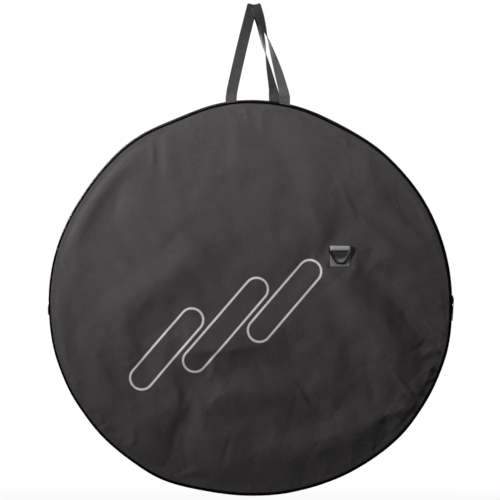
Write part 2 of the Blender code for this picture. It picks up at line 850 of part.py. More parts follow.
def sleeve_section():
    """Tab from its sewn foot up and round the bar, as points in the Y-Z plane."""
    foot = CENTRE.z + TAB_RISE - TAB_HEIGHT / 2.0
    turned = 2.0 * math.pi * SLEEVE_TURN_SHARE
    inside = [Vector((0.0, BAR_Y + SLEEVE_RADIUS, foot))]
    outside = [Vector((0.0, BAR_Y + SLEEVE_RADIUS + WEBBING_THICKNESS, foot))]
    for angle in spread(0.0, turned, 12):
        away = Vector((0.0, math.cos(angle), math.sin(angle)))
        hub = Vector((0.0, BAR_Y, BAR_CENTRE.z))
        inside.append(hub + away * SLEEVE_RADIUS)
        outside.append(hub + away * (SLEEVE_RADIUS + WEBBING_THICKNESS))
    return inside + list(reversed(outside))


def make_ring_tab(materials, flap):
    rings = []
    for offset in (-TAB_WIDTH / 2.0, TAB_WIDTH / 2.0):
        column = Vector((CENTRE.x + TAB_RIGHT + offset, 0.0, 0.0))
        rings.append([column + point for point in sleeve_section()])
    sweep("ring_tab", rings, materials["webbing"], parent=flap)


def ring_path():
    """Centre line of the ring from its bar: corners, straight sides and a half oval."""
    half = TAB_WIDTH / 2.0 + RING_SIDE_GAP + RING_WIRE_RADIUS
    path = []
    for angle in spread(QUARTER_TURN, 0.0, 3):
        corner = Vector((half - RING_CORNER, 0.0, -RING_CORNER))
        path.append(corner + Vector((math.cos(angle), 0.0, math.sin(angle))) * RING_CORNER)
    for angle in spread(0.0, -math.pi, 14):
        drop = (RING_DEPTH - RING_SIDE) * math.sin(angle)
        path.append(Vector((half * math.cos(angle), 0.0, drop - RING_SIDE)))
    for angle in spread(math.pi, QUARTER_TURN, 3):
        corner = Vector((RING_CORNER - half, 0.0, -RING_CORNER))
        path.append(corner + Vector((math.cos(angle), 0.0, math.sin(angle))) * RING_CORNER)
    return path


def make_ring(materials, flap):
    path = ring_path()
    rings = []
    for index, point in enumerate(path):
        ahead = (path[(index + 1) % len(path)] - point).normalized()
        behind = (point - path[index - 1]).normalized()
        tangent = (ahead + behind).normalized()
        normal = tangent.cross(Vector((0.0, 1.0, 0.0)))
        stretch = 1.0 / max(0.5, tangent.dot(ahead))
        ring = []
        for angle in turn(RING_SIDES):
            sideways = normal * (math.cos(angle) * stretch * RING_WIRE_RADIUS)
            deep = Vector((0.0, math.sin(angle) * RING_WIRE_RADIUS, 0.0))
            ring.append(BAR_CENTRE + point + sideways + deep)
        rings.append(ring)
    sweep("d_ring", rings, materials["ring_steel"], closed=True, origin=BAR_CENTRE, parent=flap)


def make_pivot(name, place):
    pivot = bpy.data.objects.new(name, None)
    bpy.context.collection.objects.link(pivot)
    pivot.location = place
    return pivot


def build():
    clear_scene()
    materials = make_materials()
    flap = make_pivot("flap_pivot", CENTRE + Vector((0.0, FOLD_AXIS_Y, FOLD_HEIGHT)))
    travel = make_pivot("travel_pivot", ZIP_CENTRE.copy())
    make_back_wall(materials)
    make_front_wall(materials, flap, upper=False)
    make_front_wall(materials, flap, upper=True)
    make_gussets(materials, flap)
    make_zip(materials, flap)
    make_slider(materials, travel)
    make_pull(materials, travel)
    make_handles(materials, flap)
    make_ring_tab(materials, flap)
    make_ring(materials, flap)


build()
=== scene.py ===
"""Looks of the bike wheel bag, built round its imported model. All lengths are in metres."""

import math
import random

import bmesh
import bpy
import numpy as np
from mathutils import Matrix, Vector, noise


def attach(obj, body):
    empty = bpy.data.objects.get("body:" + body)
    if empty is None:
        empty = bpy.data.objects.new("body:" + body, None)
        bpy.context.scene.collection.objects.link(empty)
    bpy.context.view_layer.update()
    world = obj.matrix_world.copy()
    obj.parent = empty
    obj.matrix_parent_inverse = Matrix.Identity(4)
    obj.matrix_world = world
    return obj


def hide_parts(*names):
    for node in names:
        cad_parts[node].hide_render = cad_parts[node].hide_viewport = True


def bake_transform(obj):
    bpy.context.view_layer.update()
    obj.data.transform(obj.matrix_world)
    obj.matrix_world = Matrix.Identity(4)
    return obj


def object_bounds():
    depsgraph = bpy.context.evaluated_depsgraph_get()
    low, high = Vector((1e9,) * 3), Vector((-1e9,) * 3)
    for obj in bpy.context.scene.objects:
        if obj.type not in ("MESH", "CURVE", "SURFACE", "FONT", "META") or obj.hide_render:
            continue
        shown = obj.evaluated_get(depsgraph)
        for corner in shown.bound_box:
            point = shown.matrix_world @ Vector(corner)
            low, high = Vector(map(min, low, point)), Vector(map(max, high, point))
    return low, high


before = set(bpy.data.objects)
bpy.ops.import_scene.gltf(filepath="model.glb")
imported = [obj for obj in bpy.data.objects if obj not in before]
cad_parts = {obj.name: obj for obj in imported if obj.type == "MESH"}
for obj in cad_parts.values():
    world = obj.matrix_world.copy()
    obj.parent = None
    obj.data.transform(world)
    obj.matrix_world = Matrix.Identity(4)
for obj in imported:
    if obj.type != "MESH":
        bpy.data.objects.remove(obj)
cad_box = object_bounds()

# Outline and walls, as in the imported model
GAP = 0.0003
RIM_RADIUS = 0.3732
RIM_WIDEN_SHARE = 0.0096
RIM_SAG_SHARE = 0.0068
CENTRE = np.array((-0.0076, 0.0, -0.552955))
RIM_PLANE = 0.04
PIPING_RADIUS = 0.0021
PANEL_MARGIN = 0.0039
BINDING_MARGIN = 0.0053
PANEL_FABRIC = 0.0012
PANEL_FACE = 0.0406
PANEL_CROWN = 0.007
FLAT_SHARE = 0.3
CROWN_POWER = 2.5
PAD_OUTER = 0.0391
PAD_INNER = 0.0361
PAD_MARGIN = 0.0093
LINING_OUTER = 0.0358
LINING_FABRIC = 0.0008
LINING_MARGIN = 0.0056
BINDING_WIDTH = 0.0037

# Gusset and zip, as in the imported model
GUSSET_EDGE = 0.0372
GUSSET_TUCK = 0.0012
GUSSET_FABRIC = 0.001
STRIP_DROP = 0.0015
SIDE_BULGE = 0.0035
TOP_BULGE = 0.0028
BARREL_POWER = 3.0
BLEND_START_SHARE = 0.06
BLEND_END_SHARE = 0.3
ZIP_SLOT_HALF = 0.008
ZIP_END_DROP = 0.0125
TAPE_SINK = 0.002516
TAPE_HALF_WIDTH = 0.012
TAPE_FABRIC = 0.0006
TAPE_TAIL = 0.006
COIL_INNER = 0.0006
COIL_WIDTH = 0.003
COIL_HEIGHT = 0.0021
STOP_LENGTH = 0.0022
SLIDER_HALF = 0.008
SLIDER_HEIGHT = -0.0012
SLIDER_ROOF = 0.0028
SLIDER_TOP = 0.0038
SLIDER_FLOOR = -0.001
SLIDER_FLANGE = 0.004
SLIDER_WEB = 0.0003
SLIDER_TAIL_HALF = 0.005
SLIDER_HEAD = 0.0036
SLIDER_HEAD_SWELL = 0.0015
SLIDER_BULGE = 0.0004
BRIDGE_SPAN = 0.007
BRIDGE_ARCH = 0.0016
PULL_RISE = 0.00475
PULL_LEAN = 0.07
PULL_THICKNESS = 0.0012
PULL_RIBS = 5
PULL_RIB_START = -0.02
PULL_RIB_PITCH = 0.003
PULL_RIB_HALF = 0.0026
PULL_RIB_RADIUS = 0.00035
END_TAB_LENGTH = 0.016
END_TAB_WIDTH = 0.026
END_TAB_FABRIC = 0.0015
END_TAB_EASE = 0.0012
END_TAB_LAP = 0.0006
END_TAB_PUFF = 0.0007
END_TAB_UNEVEN = 0.0003
END_TAB_INSET = 0.0022

# Fold of the front
FOLD_HEIGHT = 0.01

# Handles and ring tab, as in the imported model
WEBBING_WIDTH = 0.0196
WEBBING_THICKNESS = 0.0013
STRAP_CUP = 0.0003
RIB = 0.0016
PICK = 0.0011
FOOT_TOP = -0.1698
FOOT_OUTER = 0.0385
FOOT_SUNK = 0.0035
FOOT_CLEAR = 0.0001
PLY_INSET = 0.0004
PLY_THICKNESS = 0.0012
BOX_SIDE_INSET = 0.0018
BOX_TOP_INSET = 0.0012
BOX_LOW_INSET = 0.0058
TOP_LEFT = -0.0044
TOP_RIGHT = 0.0031
FOLD_RADIUS = 0.004
HANDLE_SPACING = 0.001
LEFT_BOW = 0.001
FRONT_RIGHT_BOW = 0.003
BACK_RIGHT_BOW = -0.0004
TAB_RIGHT = 0.1677
TAB_RISE = 0.084
TAB_WIDTH = 0.037
TAB_HEIGHT = 0.0385
TAB_BACK = 0.047763
TAB_SEWN = 0.0245
SLEEVE_RADIUS = 0.00195
SLEEVE_SAG = 1.95
SLEEVE_TURN_SHARE = 0.79
TAB_SEAM_INSET = 0.0024
RING_WIRE_RADIUS = 0.0017
RING_DEPTH = 0.0295
RING_SIDE = 0.007
RING_FLAT = 0.0075
RING_CORNER = 0.0025
RING_PLAY = 0.0004

QUARTER_TURN = math.pi / 2.0
FULL_TURN = math.pi * 2.0
SIDEWAYS = np.array((1.0, 0.0, 0.0))
DEPTHWISE = np.array((0.0, 1.0, 0.0))
FLAT_MAP = "Flat"

# Body name of the front's pieces, which are baked in place, and the sides of the zip
FOLD = "fold"
ZIP_SIDES = (("front", -1.0, FOLD), ("back", 1.0, "shell"))

# Dents and swells of the slack outline: bearing and half width in degrees, and height
OUTLINE_SLACK = (
    (42.0, 8.0, -0.0014),
    (62.0, 12.5, -0.0056),
    (112.0, 11.0, -0.0072),
    (144.0, 16.0, -0.005),
    (202.0, 13.0, 0.0006),
    (226.0, 9.0, 0.0014),
    (243.0, 10.0, 0.0044),
    (262.0, 12.0, -0.001),
    (277.0, 9.0, 0.0008),
    (296.0, 10.0, 0.001),
    (318.0, 15.0, 0.004),
    (345.0, 10.0, 0.0026),
)
SHOULDERS = ((146.0, 30.0, 0.0014), (38.0, 22.0, 0.0012))


def plain_rim(angle):
    """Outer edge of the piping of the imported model."""
    wide = RIM_WIDEN_SHARE * np.cos(2.0 * angle)
    return RIM_RADIUS * (1.0 + wide - RIM_SAG_SHARE * np.sin(3.0 * angle))


def about(angle, bearing, half_width, power=2):
    """One at a bearing in degrees, falling to nothing round it."""
    off = (angle - math.radians(bearing) + math.pi) % FULL_TURN - math.pi
    return np.exp(-np.abs(off / math.radians(half_width)) ** power)


def swells(angle, rows):
    total = 0.0 * angle
    for bearing, half_width, height in rows:
        total = total + height * about(angle, bearing, half_width)
    return total


def outline_slack(angle):
    return swells(angle, OUTLINE_SLACK)


def shoulder_sink(angle):
    """How far the gusset and its zip lie in at the two upper shoulders."""
    return swells(angle, SHOULDERS)


def rim_radius(angle):
    """Outer edge of the piping, with the slack of the cloth."""
    return plain_rim(angle) + outline_slack(angle) + 0.5 * shoulder_sink(angle)


def piping_radius(angle):
    """The cord is drawn thicker below and at the right, partly as a dark stand-in for shade along the rim
    there, and thinner at the two upper shoulders.
    """
    wide = 0.0009 * about(angle, -60.0, 82.0, 4)
    return PIPING_RADIUS + wide - 0.0008 * about(angle, 148.0, 38.0) - 0.0006 * about(angle, 44.0, 28.0)


SIDE_CREST = plain_rim(0.0) + SIDE_BULGE
TOP_CREST = plain_rim(QUARTER_TURN) + TOP_BULGE
ZIP_DROP = (SIDE_CREST ** 2 - TOP_CREST ** 2) / (2.0 * TOP_CREST)
ZIP_RADIUS = TOP_CREST + ZIP_DROP
TAPE_RADIUS = ZIP_RADIUS - TAPE_SINK


def joined(*parts):
    """Numbers put side by side along a last axis, such as places from their three parts."""
    return np.stack(np.broadcast_arrays(*parts), axis=-1)


def smooth(share):
    held = np.clip(share, 0.0, 1.0)
    return held * held * (3.0 - 2.0 * held)


def crest_radius(angle):
    """Middle line of the gusset, which lies a little lower than the zip."""
    circle = np.sqrt(ZIP_RADIUS ** 2 - (ZIP_DROP * np.cos(angle)) ** 2) - ZIP_DROP * np.sin(angle)
    low = (-np.sin(angle) - BLEND_START_SHARE) / (BLEND_END_SHARE - BLEND_START_SHARE)
    share = smooth(low)
    plain = (1.0 - share) * circle + share * (plain_rim(angle) + SIDE_BULGE)
    return plain + outline_slack(angle) - shoulder_sink(angle) - STRIP_DROP


def gusset_radius(angle, depth):
    edge = rim_radius(angle) - GUSSET_TUCK
    share = 1.0 - np.abs(depth / GUSSET_EDGE) ** BARREL_POWER
    return edge + (crest_radius(angle) - edge) * share


def crown(share):
    past = np.maximum(0.0, share - FLAT_SHARE) / (1.0 - FLAT_SHARE)
    return PANEL_CROWN * (1.0 - past ** CROWN_POWER)


def polar(centre, angle, radius, depth):
    """Points at an angle, radius and depth, broadcast together."""
    return joined(radius * np.cos(angle), depth, radius * np.sin(angle)) + centre


def on_disc(angle, radius, depth):
    return polar(CENTRE, angle, radius, depth)


def outward_at(angles):
    """Directions away from the middle."""
    return polar(np.zeros(3), angles, 1.0, 0.0)


def on_zip(angle, rise, depth):
    """Points at a rise above the outer face of the zip's tape."""
    radius = TAPE_RADIUS + rise + np.minimum(outline_slack(angle), 0.0) - shoulder_sink(angle)
    return polar(CENTRE - np.array((0.0, 0.0, ZIP_DROP)), angle, radius, depth)


def at_height(height):
    """Angle on the right at which the gusset's crest has a height above the centre."""
    return math.asin(height / ZIP_RADIUS)


def zip_angle(height):
    """Angle round the zip's own centre at a height above the disc centre."""
    return math.asin((height + ZIP_DROP) / TAPE_RADIUS)


# Mesh building

def add_object(name, data):
    made = bpy.data.objects.new(name, data)
    bpy.context.scene.collection.objects.link(made)
    return made


def make_piece(name, points, faces, corners, material, soft_shade=True):
    """An object of faces, with a flat map in metres given for each face's corners."""
    mesh = bpy.data.meshes.new(name)
    mesh.from_pydata(np.asarray(points).reshape(-1, 3).tolist(), [], faces)
    layer = mesh.uv_layers.new(name=FLAT_MAP)
    layer.data.foreach_set("uv", np.asarray(corners, np.float32).ravel())
    mesh.materials.append(material)
    if soft_shade:
        mesh.shade_smooth()
    mesh.update()
    return add_object(name, mesh)


def flat_grid(rows, columns):
    """Flat map of a grid: its columns lie across and its rows up."""
    return np.stack(np.meshgrid(rows, columns, indexing="ij")[::-1], axis=-1)


def face_data(mesh):
    """Normals, centres and areas of all faces."""
    made = []
    for key, width in (("normal", 3), ("center", 3), ("area", 1)):
        values = np.zeros(len(mesh.polygons) * width)
        mesh.polygons.foreach_get(key, values)
        made.append(values.reshape(-1, width))
    return made


def face_away(piece, reference=None, direction=None):
    """Turn all faces if they look towards a point, or against a direction."""
    normals, centres, areas = face_data(piece.data)
    away = centres - reference if direction is None else np.asarray(direction)
    if (normals * away).sum() < 0.0:
        piece.data.flip_normals()
    return piece


def grid_faces(shape, flat, wrap_rows=False, wrap_columns=False, present=None):
    """Faces of a grid of points, and the flat map at their corners."""
    rows, columns = shape
    row, column = np.meshgrid(
        np.arange(rows if wrap_rows else rows - 1),
        np.arange(columns if wrap_columns else columns - 1),
        indexing="ij",
    )
    row = row.ravel()
    column = column.ravel()
    if present is not None:
        kept = present(row, column)
        row = row[kept]
        column = column[kept]
    below = (row + 1) % rows
    beside = (column + 1) % columns
    faces = np.stack(
        (row * columns + column, below * columns + column, below * columns + beside, row * columns + beside),
        axis=1,
    )
    corners = np.stack(
        (flat[row, column], flat[row + 1, column], flat[row + 1, column + 1], flat[row, column + 1]), axis=1
    )
    return faces, corners


def sheet_piece(name, points, flat, material, present=None):
    """An open sheet from a grid of points."""
    faces, corners = grid_faces(points.shape[:2], flat, present=present)
    used, faces = np.unique(faces, return_inverse=True)
    faces = faces.reshape(-1, 4).tolist()
    return make_piece(name, points.reshape(-1, 3)[used], faces, corners, material)


def loft_piece(name, rings, flat, material, closed=False, soft_shade=True):
    """A closed body through rings of points."""
    faces, corners = grid_faces(rings.shape[:2], flat, wrap_rows=closed, wrap_columns=True)
    faces = faces.tolist()
    corners = list(corners.reshape(-1, 2))
    if not closed:
        sides = rings.shape[1]
        last = (rings.shape[0] - 1) * sides
        faces.append(list(range(sides))[::-1])
        faces.append(list(range(last, last + sides)))
        corners += list(flat[0, :sides][::-1]) + list(flat[-1, :sides])
    piece = make_piece(name, rings, faces, corners, material, soft_shade)
    normals, centres, areas = face_data(piece.data)
    if (normals * centres * areas).sum() < 0.0:
        piece.data.flip_normals()
    return piece


def run_lengths(path, closed=False):
    """Length along a path up to each point, and past the last one where it closes."""
    ends = np.vstack((path, path[:1])) if closed else path
    steps = np.linalg.norm(np.diff(ends, axis=0), axis=1)
    return np.concatenate(([0.0], np.cumsum(steps)))


def unit(vectors):
    return vectors / np.maximum(np.linalg.norm(vectors, axis=-1, keepdims=True), 1e-12)


def tangents(path, closed=False):
    if closed:
        return unit(np.roll(path, -1, axis=0) - np.roll(path, 1, axis=0))
    return unit(np.gradient(path, axis=0))


def rings_round(path, first, second, radii, sides):
    """A ring of points round each point of a path, in the plane of two directions."""
    turned = (np.arange(sides) * FULL_TURN / sides)[:, None]
    radii = np.broadcast_to(radii, (len(path),))[:, None, None]
    return path[:, None] + radii * (first[:, None] * np.cos(turned) + second[:, None] * np.sin(turned))


def tube(name, path, radius, sides, reference, material, closed=False):
    """A round cord along a path; reference is a direction that it never follows."""
    along = tangents(path, closed)
    first = unit(np.cross(along, np.broadcast_to(reference, path.shape)))
    rings = rings_round(path, first, np.cross(along, first), radius, sides)
    round_it = np.arange(sides + 1) * FULL_TURN * float(np.max(radius)) / sides
    return loft_piece(name, rings, flat_grid(run_lengths(path, closed), round_it), material, closed)


def thicken(piece, thickness):
    """Give a sheet its thickness on the inner side."""
    solid = piece.modifiers.new("thickness", "SOLIDIFY")
    solid.thickness = thickness
    solid.offset = -1.0
    return piece


def round_edges(piece, width, segments=2):
    bevel = piece.modifiers.new("edges", "BEVEL")
    bevel.width = width
    bevel.segments = segments
    bevel.limit_method = "ANGLE"
    bevel.angle_limit = math.radians(35.0)
    bevel.harden_normals = False
    return piece


def disc_grid(count):
    """A smooth grid on a round sheet, as shares of the radius and angles, and its edge's order."""
    line = np.linspace(-1.0, 1.0, count + 1)
    across, up = np.meshgrid(line, line, indexing="ij")
    x = across * np.sqrt(1.0 - up * up / 2.0)
    z = up * np.sqrt(1.0 - across * across / 2.0)
    index = np.arange((count + 1) ** 2).reshape(count + 1, count + 1)
    edge = np.concatenate((index[:-1, 0], index[-1, :-1], index[:0:-1, -1], index[0, :0:-1]))
    return np.minimum(np.hypot(x, z), 1.0), np.arctan2(z, x), edge


def finer(field, times):
    """A grid of values made finer by smooth curves through them, in both directions."""
    for axis in (0, 1):
        field = np.moveaxis(field, axis, 0)
        last = len(field) - 1
        place = np.arange(last * times + 1) / times
        left = np.minimum(place.astype(int), last - 1)
        part = (place - left).reshape((-1,) + (1,) * (field.ndim - 1))
        before = field[np.maximum(left - 1, 0)]
        here = field[left]
        there = field[left + 1]
        after = field[np.minimum(left + 2, last)]
        bend = 2.0 * before - 5.0 * here + 4.0 * there - after
        steep = 3.0 * (here - there) + after - before
        field = here + part * 0.5 * (there - before + part * (bend + part * steep))
        field = np.moveaxis(field, 0, axis)
    return field


def disc_places(count, margin):
    """Shares, angles and places of a round sheet's grid, and its edge's order."""
    share, angle, edge = disc_grid(count)
    reach = (rim_radius(angle) - margin) * share
    return share, angle, reach * np.cos(angle), reach * np.sin(angle), edge


def join_rings(faces, corners, flat, ring, following):
    """A strip of faces between two closed rings of points."""
    for here, there, far, near in zip(ring, np.roll(ring, -1), np.roll(following, -1), following):
        faces.append([int(here), int(near), int(far), int(there)])
        corners += [flat[here], flat[near], flat[far], flat[there]]


def disc_sheet(name, count, margin, height, side, material, tuck=(), moved=0.0):
    """A round sheet whose height is a function of place, with rings tucked in past its edge."""
    share, angle, x, z, edge = disc_places(count, margin)
    points = joined(x, side * height(x, z, share, angle), z) + moved
    flat = joined(x, z)
    faces, corners = grid_faces(points.shape[:2], flat)
    faces = faces.tolist()
    corners = corners.reshape(-1, 2).tolist()
    points = points.reshape(-1, 3)
    flat = flat.reshape(-1, 2)
    ring = edge
    for past, depth in tuck:
        angles = angle.ravel()[edge]
        radius = rim_radius(angles) - margin + past
        made = polar(np.zeros(3), angles, radius, side * depth)
        following = np.arange(len(points), len(points) + len(edge))
        points = np.vstack((points, made))
        flat = np.vstack((flat, made[:, (0, 2)]))
        join_rings(faces, corners, flat, ring, following)
        ring = following
    piece = make_piece(name, points + CENTRE, faces, corners, material)
    recalculate(piece)
    return face_away(piece, direction=(0.0, side, 0.0))


def recalculate(piece):
    """Make neighbouring faces look the same way."""
    made = bmesh.new()
    made.from_mesh(piece.data)
    bmesh.ops.recalc_face_normals(made, faces=made.faces)
    made.to_mesh(piece.data)
    made.free()


def place(piece, body, slot="", *nodes):
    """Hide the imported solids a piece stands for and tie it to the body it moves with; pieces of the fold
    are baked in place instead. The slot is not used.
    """
    if nodes:
        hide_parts(*nodes)
    if body == FOLD:
        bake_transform(piece)
    else:
        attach(piece, body)
    return piece


# Folds of the fabric

UPPER_LEFT = np.array((-0.4, 0.92))


def ridge(x, z, line, upper, lower, height):
    """A soft fold along a line of points, with a half width for each side; it fades at both ends."""
    line = np.asarray(line, float)
    nearest = np.full(x.shape, 1e9)
    along = np.zeros(x.shape)
    wide = np.full(x.shape, upper)
    count = len(line) - 1
    for index in range(count):
        start = line[index]
        step = line[index + 1] - start
        side = np.array((-step[1], step[0])) / np.linalg.norm(step)
        side = side if side.dot(UPPER_LEFT) > 0.0 else -side
        share = np.clip(((x - start[0]) * step[0] + (z - start[1]) * step[1]) / step.dot(step), 0.0, 1.0)
        off_x = x - start[0] - share * step[0]
        off_z = z - start[1] - share * step[1]
        distance = np.hypot(off_x, off_z)
        lean = (off_x * side[0] + off_z * side[1]) / np.maximum(distance, 1e-9)
        closer = distance < nearest
        nearest = np.where(closer, distance, nearest)
        along = np.where(closer, (index + share) / count, along)
        wide = np.where(closer, lower + (upper - lower) * smooth(0.5 + 0.5 * lean), wide)
    fade = np.sin(math.pi * np.clip(along, 0.02, 0.98)) ** 0.6
    return height * np.exp(-(nearest / wide) ** 2) * fade


# Each fold of the front: half widths above and below it and its height in tenths of a millimetre,
# then its line's places right of and above the disc centre in millimetres
FRONT_FOLDS = (
    # Upper left
    (210, 160, 68, -208, 280, -247, 240, -281, 198, -309, 150, -338, 90),
    (80, 120, -16, -238, 214, -252, 176, -268, 140),
    (45, 70, 18, -189, 306, -184, 280, -181, 250),
    (75, 160, 30, -156, 322, -157, 280, -154, 225),
    (50, 80, 8, -86, 318, -86, 296),
    (40, 60, 10, -42, 364, -39, 340),
    (40, 60, 16, -11, 366, -7, 335),
    (160, 300, 22, -20, 345, -22, 290, -26, 215),
    (40, 60, 14, -357, 94, -343, 62),
    # Left
    (400, 660, 48, -265, -55, -215, -5, -158, 32, -110, 64),
    (260, 340, 68, -275, -50, -222, 0, -165, 37, -120, 68, -80, 104),
    (50, 60, 10, -238, -126, -222, -116, -204, -108),
    (35, 45, 13, -362, -96, -344, -92),
    (110, 160, 22, -200, -180, -165, -200, -135, -208),
    (60, 60, 12, -330, -168, -312, -190),
    # Top and upper right
    (70, 120, 18, 21, 364, 24, 305),
    (40, 60, 11, 58, 362, 60, 342),
    (50, 80, 15, 88, 354, 98, 320),
    (240, 320, 44, 82, 345, 100, 290, 120, 238, 134, 186),
    (240, 140, 34, 108, 196, 128, 152, 146, 112),
    (50, 110, 13, 160, 238, 176, 195, 196, 154),
    (60, 60, 19, 174, 325, 180, 284),
    (200, 150, 36, 212, 268, 228, 215, 250, 166),
    (60, 60, -14, 222, 263, 250, 254),
    (40, 60, 13, 267, 203, 280, 170),
    (150, 130, -38, 262, 208, 300, 162, 338, 112),
    (100, 160, 22, 196, 160, 246, 118, 300, 74),
    (120, 200, 26, 232, 66, 290, 24, 350, -10),
    # Round the ring tab
    (140, 160, -26, 156, 90, 120, 80),
    (150, 180, -14, 184, 92, 216, 82),
    # Long fold from the ring tab to the lower right, and beside it
    (330, 400, 128, 162, 46, 192, 10, 226, -34, 272, -86, 318, -136),
    (140, 160, 30, 138, 66, 164, 30, 196, -10),
    (260, 240, -44, 216, 54, 262, 12, 312, -46, 345, -90),
    (40, 50, 10, 228, -72, 252, -107),
    (40, 40, 8, 245, -60, 258, -68),
    # Gathers of the right rim
    (50, 70, 28, 298, -12, 335, -45, 364, -66),
    (50, 50, -18, 334, -24, 364, -42),
    (40, 40, 12, 352, 82, 368, 73),
    (40, 40, 10, 352, 50, 368, 38),
    (40, 80, 32, 322, -100, 340, -93, 363, -101),
    (60, 60, -38, 310, -88, 334, -80, 358, -86),
    (80, 70, -18, 302, -108, 352, -113),
    (40, 50, 18, 325, -128, 355, -124),
    (40, 50, 19, 322, -141, 350, -145),
    (40, 50, 18, 318, -153, 346, -158),
    (60, 50, 28, 300, -158, 334, -182),
    (50, 50, 24, 266, -134, 286, -160, 308, -186),
    (70, 90, -26, 218, -152, 234, -190),
    (120, 110, 48, 218, -232, 252, -213, 284, -201, 318, -203),
    (35, 40, 14, 262, -206, 286, -224),
    # Lower right and bottom
    (260, 280, 86, 0, -297, 69, -286, 129, -268, 189, -245, 262, -228),
    (90, 120, 22, 12, -282, 44, -268, 80, -272),
    (35, 80, 15, 78, -148, 98, -180, 116, -208),
    # Middle
    (120, 100, 30, -130, -96, -100, -94, -50, -91, 0, -86, 60, -71),
    (340, 460, 82, -140, -80, -100, -78, -50, -76, 0, -72, 70, -56),
    (80, 260, 32, -112, -30, -114, -96),
    (50, 90, 18, -66, -104, -73, -150),
    (220, 320, 88, -78, -204, -42, -180, 0, -171, 42, -170, 88, -183),
    (50, 80, 18, -74, -194, -55, -170),
    # Lower left
    (240, 220, -50, -152, -345, -134, -288, -122, -242, -110, -190),
    (400, 360, 50, -224, -300, -196, -246, -170, -190),
    (560, 400, 76, -66, -345, -42, -285, -20, -225),
    (80, 140, 32, -146, -338, -122, -322, -96, -316),
    (60, 120, 16, -112, -305, -112, -270),
    (60, 60, -18, -38, -255, -54, -312),
    (45, 60, 20, -222, -238, -219, -262, -240, -288),
    (50, 50, 14, -286, -213, -274, -238),
    (50, 50, 14, -272, -236, -250, -248),
)


def read_folds(rows):
    """Line, half widths and height of each fold in metres."""
    made = []
    for upper, lower, height, *line in rows:
        made.append((np.reshape(line, (-1, 2)) / 1000.0, upper / 10000.0, lower / 10000.0, height / 10000.0))
    return made


FRONT_REACH = 0.0598
BACK_REACH = 0.054
EASE = 0.0022
PUCKER_COUNT = 110
PUCKER_HEIGHT = 0.0019
SEAM_SHARE = 0.985
SEAM_EASE_SHARE = 0.955
TAB_EASE = 0.006
BACK_FOLD_COUNT = 16


def pucker_folds(seed, busy):
    """Short gathers along the seam; busy(angle) is their strength."""
    draw = random.Random(seed)
    made = []
    for _ in range(PUCKER_COUNT):
        angle = draw.uniform(-math.pi, math.pi)
        strength = busy(angle) * draw.uniform(0.4, 1.0)
        length = draw.uniform(0.014, 0.02) + 0.032 * strength * draw.random()
        lean = draw.uniform(-0.05, 0.05)
        width = draw.uniform(0.0028, 0.005)
        height = PUCKER_HEIGHT * strength
        outer = float(rim_radius(angle)) - PANEL_MARGIN
        inner = outer - length
        line = (
            (outer * math.cos(angle), outer * math.sin(angle)),
            (inner * math.cos(angle + lean), inner * math.sin(angle + lean)),
        )
        made.append((line, width, width, height))
    return made


def front_busy(angle):
    """The lower right gathers most, then the top under the handles and the lower left."""
    right = 1.0 * math.exp(-((angle + 0.4) / 0.45) ** 2)
    top = 0.4 * math.exp(-((angle - QUARTER_TURN) / 0.4) ** 2)
    low = 0.4 * math.exp(-((angle + 2.4) / 0.45) ** 2)
    return 0.12 + right + top + low


def front_spare(x, z):
    """Share of the spare cloth: most below and at the right, and less near the rim."""
    low = smooth((0.03 - z) / 0.2)
    right = smooth((x - 0.12) / 0.14) * smooth((0.18 - z) / 0.14)
    near_rim = smooth((np.hypot(x, z) - 0.26) / 0.06)
    return (0.24 + 0.7 * np.maximum(low, right)) * (1.0 - 0.76 * near_rim)


def back_spare(x, z):
    return 0.45 + 0.4 * smooth((0.1 - z) / 0.3)


def by_tab(x, z):
    """One where the ring tab lies on the front, falling to nothing round it."""
    off_x = np.abs(x - TAB_RIGHT) - TAB_WIDTH / 2.0
    off_z = np.abs(z - TAB_RISE) - TAB_HEIGHT / 2.0
    return 1.0 - smooth((np.maximum(off_x, off_z) - 0.0005) / TAB_EASE)


def back_busy(angle):
    return 0.35 + 0.5 * math.exp(-((angle + QUARTER_TURN) / 0.9) ** 2)


def back_folds():
    """Soft folds that hang across the back."""
    draw = random.Random(21)
    made = []
    for _ in range(BACK_FOLD_COUNT):
        bearing = draw.uniform(-math.pi, math.pi)
        reach = draw.uniform(0.06, 0.27)
        tilt = bearing + QUARTER_TURN + draw.uniform(-0.9, 0.9)
        half = draw.uniform(0.04, 0.11)
        x = reach * math.cos(bearing)
        z = reach * math.sin(bearing)
        bow = draw.uniform(-0.02, 0.02)
        line = (
            (x - half * math.cos(tilt), z - half * math.sin(tilt)),
            (x - bow * math.sin(tilt), z + bow * math.cos(tilt)),
            (x + half * math.cos(tilt), z + half * math.sin(tilt)),
        )
        width = draw.uniform(0.011, 0.024)
        made.append((line, width, width, draw.choice((-1.0, 1.0, 1.0)) * draw.uniform(0.0014, 0.0044)))
    return made


def uneven(x, z, scale, offset):
    """Smooth noise of about one unit, for each point."""
    flat_x = x.ravel() / scale
    flat_z = z.ravel() / scale
    made = [noise.noise(Vector((a, offset, b))) for a, b in zip(flat_x, flat_z)]
    return np.array(made).reshape(x.shape)


def lowest(share):
    """Depth under the plain dome at which the fabric lies on its padding."""
    return -0.0014 - 0.45 * crown(share)


def highest(share, reach):
    """Height over the plain dome at which the fabric stands out as far as it may."""
    return reach - PANEL_FACE - crown(share)


